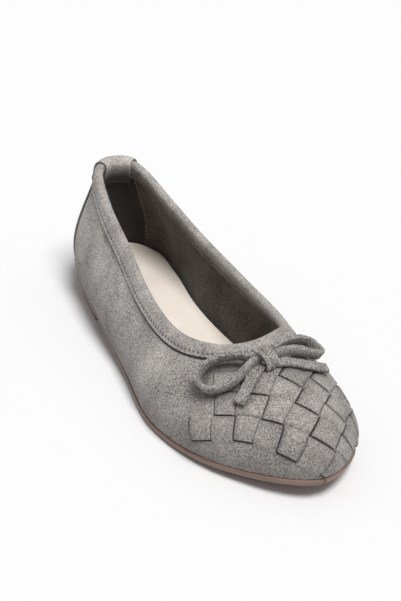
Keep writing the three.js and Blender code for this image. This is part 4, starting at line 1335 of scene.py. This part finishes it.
@dataclass
class BackStrip:
    """The strip that covers the heel's back, over the collar and down inside."""

    thickness: float = 0.001
    cut_edge: float = 0.00015
    edge_from: float = 0.985
    edge_shade: float = 0.6
    around: int = 60
    heel_steps: int = 40
    foot_clearance: float = 0.0004
    inner_taper: float = 0.3
    inside_shade: float = 0.93
    shade_span: float = 0.006
    medial_share: float = 0.88
    fold: tuple[Bend, ...] = (
        Bend(0.0092, 0.0013), Bend(0.0083, 0.0014), Bend(0.0074, 0.002), Bend(0.0066, 0.0024),
        Bend(0.0056, 0.0024), Bend(0.0046, 0.0023), Bend(0.0036, 0.0025), Bend(0.0026, 0.0026),
        Bend(0.0014, 0.0027), *(Bend(turn=angle, height=0.0027) for angle in HALF_TURN),
        Bend(-0.0014, 0.0027), Bend(-0.003, 0.0025), Bend(-0.005, 0.0023), Bend(-0.0068, 0.0022),
        Bend(-0.0078, 0.002), Bend(-0.0088, 0.0015), Bend(-0.0098, 0.0013), Bend(-BACK_STRIP_FOLD, 0.0013),
    )

    def build(self) -> None:
        """Builds and settles the strip."""
        half = BACK_STRIP_WIDTH / 2
        heel = LAST.share_of("heel, lateral"), 1 - LAST.share_of("heel, medial")
        lateral = float(LAST.share_where(lambda u: LAST.foot_y(u) < -half, 0.0, heel[0]))
        medial = float(LAST.share_where(lambda u: LAST.foot_y(-u) > half * self.medial_share, 0.0, heel[1]))
        u = np.linspace(-medial, lateral, self.around + 1)
        first = LAST.below_rim(u, np.full_like(u, self.fold[0].below))
        lowest = self.foot_clearance / BACK_HEIGHT
        columns, outward = [], []
        for share in np.linspace(0, 1, self.heel_steps, endpoint=False):
            v = lowest + (first - lowest) * share
            columns.append(LAST.off_wall(u, v, np.full_like(u, self.thickness + GAP)))
            outward.append(LAST.normal(u, v))
        for bend in self.fold:
            inner = u * (1 - self.inner_taper * max(-bend.below, 0) / BACK_STRIP_FOLD)
            columns.append(LAST.over_edge(inner, bend))
            outward.append(LAST.normal(u, np.ones_like(u)) * (-1 if bend.below < 0 else 1))
        points = np.stack(columns, axis=1)
        # Both side edges are painted dark as the shadow beside the strip's cut edges
        edge = self.edge_shade * (np.abs(np.linspace(-1, 1, self.around + 1)) > self.edge_from)
        folded = np.array([0.0] * self.heel_steps + [-bend.below for bend in self.fold])
        # The fold inside the heel is darkened with painted shade
        inside = self.inside_shade * np.clip(folded / self.shade_span, 0, 1)
        shade = np.maximum(edge[:, None], inside[None, :])
        piece = lay("back_strip", points, np.stack(outward, axis=1), shade=shade)
        thicken(piece, self.thickness, self.cut_edge)
        dress(piece, Finish.STRIP)
        round_off(piece)
        settle(piece, "upper_suede", "back_strip")


class Plan:
    """The bottom's plan: rows across the shoe, with their ends on the sole edge."""

    def __init__(self, length: float, steps: int) -> None:
        """Works out the rows.

        Args:
            length: How far they reach from the heel's back.
            steps: How many steps they take, crowded towards the round ends.
        """
        turn = math.pi if length == LENGTH else math.pi / 2
        share = (1 - np.cos(turn * np.arange(steps + 1) / steps)) / (1 - math.cos(turn))
        self.x = length * share
        tip = LAST.share_of("toe tip")
        zero = np.zeros(steps + 1)
        self.lateral = LAST.share_where(lambda u: LAST.foot_x(u) > self.x, zero, zero + tip)
        self.medial = 1 - LAST.share_where(lambda u: LAST.foot_x(-u) > self.x, zero, zero + 1 - tip)

    def edge(self, u: np.ndarray, margin: np.ndarray) -> np.ndarray:
        """Returns level points at a margin outside the sole edge."""
        foot = stack(LAST.foot_x(u), LAST.foot_y(u), 0.0)
        return foot + LAST.outward(u) * np.asarray(margin, float)[..., None]

    def row(self, share: float, margin: Callable[[np.ndarray], np.ndarray]) -> np.ndarray:
        """Gives a point of each row.

        Args:
            share: The point's share of the way to the medial edge.
            margin: The edges' margin at places along the shoe.

        Returns:
            Level points.
        """
        near, far = self.edge(self.lateral, margin(self.x)), self.edge(self.medial, margin(self.x))
        return near + (far - near) * share


def at_height(points: np.ndarray, height: np.ndarray) -> np.ndarray:
    """Returns level points put at heights."""
    return points + stack(0.0, 0.0, height)


@dataclass(frozen=True)
class Rib:
    """A point of a plate's edge: its distance inside the outsole's own, and its share of the way down."""

    margin: float
    down: float


@dataclass
class Bottom:
    """The outsole, the stacked heel and the insole."""

    rows: int = 150
    heel_rows: int = 60
    flush_share: float = 0.2
    waist: float = 0.4
    waist_span: float = 0.2
    cuts: tuple[float, ...] = (0.04, 0.12, 0.25, 0.4, 0.6, 0.75, 0.88, 0.96)
    edge: tuple[Rib, ...] = (
        Rib(0.0005, 0.0), Rib(0.00012, 0.05), Rib(0.0, 0.15), Rib(0.00005, 0.35), Rib(0.00025, 0.55),
        Rib(0.0006, 0.75), Rib(0.0011, 0.92), Rib(OUTSOLE_BEVEL, 1.0),
    )
    lifts: int = 3
    groove: float = 0.00012
    lift_edge: tuple[tuple[float, bool], ...] = ((0.06, False), (0.5, False), (0.94, False), (1.0, True))
    tread_edge: float = 0.0004
    lowest_groove: float = 0.97
    insole_steps: int = 32
    insole_share: float = 0.9
    insole_edge: float = 0.0004

    def margin(self, x: np.ndarray) -> np.ndarray:
        """Returns how far the outsole stands out at places along the shoe."""
        ease = smooth((x / LENGTH - self.waist) / self.waist_span)
        return OUTSOLE_MARGIN * (self.flush_share + (1 - self.flush_share) * ease)

    def plate(self, name: str, plan: Plan, edge: Sequence[Rib], top: Callable[[np.ndarray], np.ndarray],
              under: Callable[[np.ndarray], np.ndarray]) -> bpy.types.Object:
        """Builds a plate of the bottom.

        Args:
            name: Its name.
            plan: Its rows.
            edge: Its edge from the top down.
            top: Gives the top's height.
            under: Gives the underside's height.

        Returns:
            The plate, closed.
        """
        columns = []

        def add(share: float, rib: Rib) -> None:
            """Adds one line of points along the plate."""
            level = plan.row(share, lambda x: self.margin(x) - rib.margin)
            high, low = top(level[:, 0]), under(level[:, 0])
            columns.append(at_height(level, high + (low - high) * rib.down))

        for cut in reversed(self.cuts):
            add(cut, Rib(edge[0].margin, 0.0))
        for rib in edge:
            add(0.0, rib)
        for cut in self.cuts:
            add(cut, Rib(edge[-1].margin, 1.0))
        for rib in reversed(edge):
            add(1.0, rib)
        columns.append(columns[0])
        piece = lay(name, np.stack(columns, axis=1))
        close(piece)
        round_off(piece, PLATE_SHARP_ANGLE)
        return piece

    def outsole(self) -> bpy.types.Object:
        """Builds the outsole, with rounded edges."""
        piece = self.plate("outsole", Plan(LENGTH, self.rows), self.edge, lambda x: bottom_height(x) - GAP,
                           lambda x: bottom_height(x) - GAP - OUTSOLE_THICKNESS)
        dress(piece, Finish.OUTSOLE)
        return piece

    def heel(self) -> bpy.types.Object:
        """Builds the heel from its lifts, each with a fine groove below it."""
        edge = [Rib(OUTSOLE_BEVEL, 0.0)]
        for lift in range(self.lifts):
            for share, is_groove in self.lift_edge:
                down = (lift + share) / self.lifts
                margin = OUTSOLE_BEVEL + HEEL_BLOCK_TAPER * down + self.groove * is_groove
                edge.append(Rib(margin, min(down, self.lowest_groove)))
        edge.append(Rib(OUTSOLE_BEVEL + HEEL_BLOCK_TAPER + self.tread_edge, 1.0))
        piece = self.plate("heel", Plan(HEEL_BLOCK_LENGTH, self.heel_rows), edge,
                           lambda x: bottom_height(x) - 2 * GAP - OUTSOLE_THICKNESS, lambda x: 0 * x)
        dress(piece, Finish.HEEL)
        return piece

    def insole(self) -> bpy.types.Object:
        """Builds the insole, whose leather turns up a little all round."""
        plan = Plan(LENGTH, self.rows)
        columns = []
        for share in np.linspace(0, 1, self.insole_steps + 1):
            level = plan.row(share, lambda x: 0 * x - UPPER_WALL - INSOLE_CLEARANCE)
            cup = INSOLE_CUP * abs(2 * share - 1) ** 4
            columns.append(at_height(level, bottom_height(level[:, 0]) + INSOLE_THICKNESS + cup))
        points = np.stack(columns, axis=1)
        piece = lay("insole", points, outward=np.broadcast_to([0.0, 0.0, 1.0], points.shape))
        merge(piece)
        bpy.ops.object.mode_set(mode="OBJECT")
        thicken(piece, INSOLE_THICKNESS * self.insole_share, self.insole_edge, 3)
        dress(piece, Finish.INSOLE)
        round_off(piece, PLATE_SHARP_ANGLE)
        return piece

    def build(self) -> None:
        """Builds and settles the bottom's pieces."""
        settle(self.outsole(), "outsole", "outsole")
        settle(self.heel(), "stacked_heel", "heel")
        settle(self.insole(), "insole_leather", "insole")


@dataclass(frozen=True)
class Stop:
    """A stop of a bow band's route: ahead and aside as shares of its span, lift as one of its width."""

    ahead: float
    aside: float
    lift: float


@dataclass
class Bow:
    """The small bow: two loops on edge, two flat tails and the band that holds them."""

    reach: float = 0.028
    band_width: float = 0.005
    band_thickness: float = 0.0024
    tail_length: float = 0.024
    tail_thickness: float = 0.002
    weave_top: float = 0.0011 + GAP
    knot_ahead: float = THROAT_REACH + 0.0145
    knot_aside: float = -0.018 * BALL_WIDTH
    knot_height: float = 0.008
    sides: int = 20
    loop_steps: int = 90
    tail_steps: int = 40
    tail_half_width: float = 0.0027
    loop_squareness: float = 0.4
    tail_squareness: float = 0.35
    # Painted shade at the band ends under the knot and on the bands' undersides
    tuck: float = 0.0026
    tuck_fade: float = 0.0014
    tuck_shade: float = 0.8
    under_shade: float = 0.7
    under_from: float = 0.4
    end_shade: float = 0.5
    ripples: tuple[tuple[float, float, float], ...] = ((0.04, 0.7, 2.0), (0.03, 1.9, 1.0))
    knot_lean: float = 20.0
    lumps: tuple[tuple[tuple[float, float, float], tuple[float, float, float]], ...] = (
        ((0.0003, 0.0, -0.0012), (0.0066, 0.0064, 0.0066)),
        ((-0.0034, 0.0006, 0.0018), (0.0034, 0.0056, 0.0034)),
    )
    wrap: tuple[tuple[float, float], ...] = (
        (-0.0036, -0.0026), (-0.0041, -0.0004), (-0.0036, 0.0018), (-0.0018, 0.0031), (0.0004, 0.0033),
        (0.0025, 0.0024), (0.0041, 0.0006), (0.0046, -0.0016), (0.0042, -0.0034),
    )
    wrap_steps: int = 48
    plies: tuple[tuple[float, float], ...] = ((-0.0022, -0.0002), (0.0, 0.0003), (0.0022, -0.0001))
    ply_half: tuple[float, float] = (0.001, 0.00125)
    ply_squareness: float = 0.7
    footprint_steps: int = 40
    # How far the bow's painted shadow is shifted towards the toe
    shadow_shift_ahead: float = 0.0008
    lateral_loop: tuple[Stop, ...] = (
        Stop(-0.06, -0.04, 0.3), Stop(-0.11, -0.17, 0.46), Stop(-0.25, -0.28, 0.38), Stop(-0.39, -0.4, 0.28),
        Stop(-0.5, -0.54, 0.18), Stop(-0.55, -0.69, 0.15), Stop(-0.53, -0.81, 0.15), Stop(-0.44, -0.89, 0.15),
        Stop(-0.3, -0.9, 0.15), Stop(-0.13, -0.84, 0.15), Stop(0, -0.7, 0.15), Stop(0.06, -0.56, 0.15),
        Stop(0.06, -0.41, 0.22), Stop(0.03, -0.28, 0.36), Stop(0, -0.17, 0.42), Stop(0.02, -0.04, 0.3),
    )
    medial_loop: tuple[Stop, ...] = (
        Stop(-0.06, 0.03, 0.3), Stop(-0.12, 0.17, 0.46), Stop(-0.22, 0.3, 0.34), Stop(-0.36, 0.53, 0.24),
        Stop(-0.44, 0.77, 0.22), Stop(-0.43, 0.96, 0.22), Stop(-0.33, 1.06, 0.22), Stop(-0.21, 1.03, 0.22),
        Stop(-0.14, 0.88, 0.22), Stop(-0.13, 0.68, 0.26), Stop(-0.1, 0.44, 0.4), Stop(-0.01, 0.17, 0.46),
        Stop(0.02, 0.03, 0.3),
    )
    lateral_tail: tuple[Stop, ...] = (
        Stop(0, -0.02, 0.3), Stop(0.05, -0.11, 0.12), Stop(0.1, -0.2, 0), Stop(0.16, -0.29, 0),
        Stop(0.24, -0.4, 0), Stop(0.33, -0.52, 0), Stop(0.45, -0.7, 0),
    )
    medial_tail: tuple[Stop, ...] = (
        Stop(0.03, 0.02, 0.3), Stop(0.07, 0.12, 0.1), Stop(0.08, 0.2, 0.04), Stop(0.08, 0.43, 0.04),
        Stop(0.1, 0.68, 0.08), Stop(0.11, 0.93, 0.16), Stop(0.1, 1.2, 0.3),
    )

    def __post_init__(self) -> None:
        """Readies the search for places by their plan."""
        self.wall = Wall(lambda points: points[..., :2])

    def route(self, stops: Sequence[Stop], span: float, rest: float,
              steps: int) -> tuple[np.ndarray, np.ndarray]:
        """Works out a band's course.

        Args:
            stops: Its stops.
            span: The length that their shares are of.
            rest: The height of the band's middle over the wall where it rests.
            steps: How many steps the course takes.

        Returns:
            Points along it and the wall's directions there.
        """
        knot = np.array([self.knot_ahead, self.knot_aside])
        u, v = self.wall.find(knot + np.array([[stop.ahead, stop.aside] for stop in stops]) * span)
        lift = rest + np.array([stop.lift for stop in stops]) * self.band_width
        points, normals = LAST.off_wall(u, v, lift), LAST.normal(u, v)
        walked = walk(points)
        places = np.linspace(0, walked[-1], steps + 1)
        return hermite(walked, points, places), unit(hermite(walked, normals, places))

    def footprint(self) -> np.ndarray:
        """Returns points on the wall along the bands, shifted a little towards the toe, where their painted
        shadow falls.
        """
        routes = ((self.lateral_loop, self.reach), (self.medial_loop, self.reach),
                  (self.lateral_tail, self.tail_length), (self.medial_tail, self.tail_length))
        lines = []
        for stops, span in routes:
            level = [Stop(stop.ahead, stop.aside, 0.0) for stop in stops]
            lines.append(self.route(level, span, 0.0, self.footprint_steps)[0])
        return np.concatenate(lines) + np.array([self.shadow_shift_ahead, 0.0, 0.0])

    def band(self, name: str, course: tuple[np.ndarray, np.ndarray], half_up: float,
             half_across: float, squareness: float,
             tucked: tuple[float, float] = (0.0, 0.0)) -> bpy.types.Object:
        """Builds a soft band along a course.

        Args:
            name: Its name.
            course: Its points and the directions it stands along.
            half_up: Half its height along them.
            half_across: Half its width across them.
            squareness: Its section's corners, from 0 for square to 1 for round.
            tucked: How far its start and its end are tucked in, where painted shade of the knot darkens it.

        Returns:
            The band, closed at both ends.
        """
        points, normals = course
        forward = unit(np.gradient(points, axis=0))
        across = unit(np.cross(forward, normals))
        up = np.cross(across, forward)
        angle = np.linspace(0, 2 * math.pi, self.sides + 1)
        reach_up = np.sign(np.cos(angle)) * np.abs(np.cos(angle)) ** squareness
        reach_across = np.sign(np.sin(angle)) * np.abs(np.sin(angle)) ** squareness
        way = np.arange(len(points))[:, None]
        soft = 1 + sum(depth * np.sin(way * pace + turns * angle) for depth, pace, turns in self.ripples)
        rings = points[:, None] + up[:, None] * (half_up * reach_up * soft)[..., None]
        rings = rings + across[:, None] * (half_across * reach_across * soft)[..., None]
        # The band's underside and lower sides get painted shade
        under = np.clip((self.under_from - reach_up) / (self.under_from + 1), 0, 1)
        shade = self.under_shade * under * np.ones(rings.shape[:-1])
        shade[[0, -1]] = self.end_shade
        walked = walk(points)
        for reach, depth in zip((walked, walked[-1] - walked), tucked):
            if depth:
                near = np.clip((depth + self.tuck_fade - reach) / self.tuck_fade, 0, 1)
                shade = np.maximum(shade, self.tuck_shade * near[:, None])
        piece = lay(name, rings, shade=shade)
        close(piece)
        dress(piece, Finish.BOW)
        round_off(piece)
        return piece

    def loop(self, name: str, stops: Sequence[Stop]) -> bpy.types.Object:
        """Returns a loop that stands on edge on the vamp."""
        half_up = self.band_width / 2
        course = self.route(stops, self.reach, self.weave_top + half_up, self.loop_steps)
        return self.band(name, course, half_up, self.band_thickness / 2, self.loop_squareness,
                         (self.tuck, self.tuck))

    def tail(self, name: str, stops: Sequence[Stop]) -> bpy.types.Object:
        """Returns a tail that lies flat on the toe."""
        half_up = self.tail_thickness / 2
        course = self.route(stops, self.tail_length, self.weave_top + half_up, self.tail_steps)
        return self.band(name, course, half_up, self.tail_half_width, self.tail_squareness, (self.tuck, 0.0))

    def knot(self) -> bpy.types.Object:
        """Returns the knot: a soft core with the plies of a band wrapped over it."""
        u, v = self.wall.find(np.array([[self.knot_ahead, self.knot_aside]]))
        seat = LAST.off_wall(u, v, np.array([self.weave_top + self.knot_height / 2]))[0]
        up = LAST.normal(u, v)[0]
        aside = unit(np.array([0.0, 1.0, 0.0]) - up * up[1])
        ahead = np.cross(aside, up)
        lean = math.radians(self.knot_lean)
        along = ahead * math.cos(lean) + aside * math.sin(lean)
        side = np.cross(up, along)
        turn = Matrix(np.stack([along, side, up], axis=1)).to_4x4()
        to_seat = Matrix.Translation(seat - ORIGIN) @ turn
        pieces = []
        for middle, size in self.lumps:
            clear_selection()
            bpy.ops.mesh.primitive_uv_sphere_add(segments=32, ring_count=20, radius=0.5)
            lump = bpy.context.object
            lump.data.transform(to_seat @ Matrix.Translation(middle) @ Matrix.Diagonal((*size, 1.0)))
            lump.data.attributes.new("shade", "FLOAT", "POINT")
            pieces.append(lump)
        stops = np.array(self.wrap)
        walked = walk(stops)
        profile = hermite(walked, stops, np.linspace(0, walked[-1], self.wrap_steps + 1))
        points = seat + along * profile[:, :1] + up * profile[:, 1:]
        slope = np.gradient(profile, axis=0)
        outwards = unit(up * slope[:, :1] - along * slope[:, 1:])
        for shift, rise in self.plies:
            course = points + side * shift + outwards * rise, outwards
            pieces.append(self.band("knot_wrap", course, *self.ply_half, self.ply_squareness))
        return join("bow_knot", pieces)

    def build(self) -> None:
        """Builds and settles the bow's pieces."""
        pieces = (
            (self.loop("bow_loop_lateral", self.lateral_loop), "bow_loop_lateral"),
            (self.loop("bow_loop_medial", self.medial_loop), "bow_loop_medial"),
            (self.tail("bow_tail_lateral", self.lateral_tail), "bow_tail_lateral"),
            (self.tail("bow_tail_medial", self.medial_tail), "bow_tail_medial"),
            (self.knot(), "bow_knot"),
        )
        for piece, node in pieces:
            dress(piece, Finish.BOW)
            round_off(piece)
            settle(piece, "trim_suede", node)


def hermite(stations: np.ndarray, values: np.ndarray, places: np.ndarray) -> np.ndarray:
    """Draws a smooth curve through points.

    Args:
        stations: How far along each point lies.
        values: The points.
        places: How far along the wanted ones lie.

    Returns:
        The wanted points.
    """
    spans = np.diff(stations)[:, None]
    rises = np.diff(values, axis=0) / spans
    inner = (rises[:-1] * spans[1:] + rises[1:] * spans[:-1]) / (spans[1:] + spans[:-1])
    slopes = np.concatenate([rises[:1], inner, rises[-1:]])
    index = np.clip(np.searchsorted(stations, places, side="right") - 1, 0, len(stations) - 2)
    span = spans[index]
    t = ((places - stations[index]) / span[:, 0])[:, None]
    ease = t * t * (3 - 2 * t)
    leave, arrive = t * (1 - t) ** 2 * span * slopes[index], t * t * (t - 1) * span * slopes[index + 1]
    return values[index] * (1 - ease) + values[index + 1] * ease + leave + arrive


@dataclass
class Studio:
    """The pale floor, the soft light and the camera at the photograph's angle."""

    azimuth: float = 62.93
    elevation: float = 28.58
    roll: float = 4.08
    distance: float = 0.757
    target: tuple[float, float, float] = (0.07078, 0.01044, 0.02638)
    lens: float = 88.9
    sky: float = 0.36
    power: float = 2.75
    softness: float = 26.0
    light_from: tuple[float, float, float] = (0.4, 0.06, 1.0)
    floor_size: float = 14.0
    floor_colour: tuple[float, float, float, float] = (0.843, 0.843, 0.843, 1.0)

    def floor(self) -> None:
        """Lays the pale floor."""
        clear_selection()
        bpy.ops.mesh.primitive_plane_add(size=self.floor_size, location=(0, 0, 0))
        floor = bpy.context.object
        floor.name = "floor"
        material = bpy.data.materials.new("pale_floor")
        material.use_nodes = True
        shader = material.node_tree.nodes["Principled BSDF"]
        shader.inputs["Base Color"].default_value = self.floor_colour
        shader.inputs["Roughness"].default_value = 0.9
        shader.inputs["Specular IOR Level"].default_value = 0.1
        floor.data.materials.append(material)

    def lights(self) -> None:
        """Sets the sky and the soft box."""
        bpy.context.scene.view_settings.view_transform = "Standard"
        world = bpy.data.worlds.new("studio")
        world.use_nodes = True
        background = world.node_tree.nodes["Background"]
        background.inputs["Color"].default_value = (1.0, 1.0, 1.0, 1.0)
        background.inputs["Strength"].default_value = self.sky
        bpy.context.scene.world = world
        clear_selection()
        bpy.ops.object.light_add(type="SUN")
        light = bpy.context.object
        light.name = "soft_box"
        light.data.energy = self.power
        light.data.angle = math.radians(self.softness)
        light.rotation_euler = Vector(self.light_from).to_track_quat("Z", "Y").to_euler()

    def camera(self) -> None:
        """Sets the camera at the photograph's angle."""
        azimuth, elevation, roll = map(math.radians, (self.azimuth, self.elevation, self.roll))
        back = Vector((math.sin(azimuth) * math.cos(elevation), -math.cos(azimuth) * math.cos(elevation),
                       math.sin(elevation)))
        right = (-back).cross(Vector((0, 0, 1))).normalized()
        up = right.cross(-back).normalized()
        x_axis = right * math.cos(roll) + up * math.sin(roll)
        y_axis = up * math.cos(roll) - right * math.sin(roll)
        clear_selection()
        bpy.ops.object.camera_add()
        camera = bpy.context.object
        camera.matrix_world = Matrix.Translation(Vector(self.target) + back * self.distance) @ Matrix(
            (x_axis, y_axis, back)).transposed().to_4x4()
        camera.data.lens = self.lens
        camera.data.sensor_width = 36.0
        bpy.context.scene.camera = camera

    def build(self) -> None:
        """Sets the whole studio."""
        self.floor()
        self.lights()
        self.camera()


def main() -> None:
    """Builds the shoe's pieces in order and sets the studio."""
    logging.basicConfig(level=logging.INFO, format="%(name)s: %(message)s")
    Studio().build()
    Bottom().build()
    bow = Bow()
    Upper(weave=Weave(), footprint=bow.footprint()).build()
    Collar().build()
    BackStrip().build()
    bow.build()


if __name__ == "__main__":
    main()
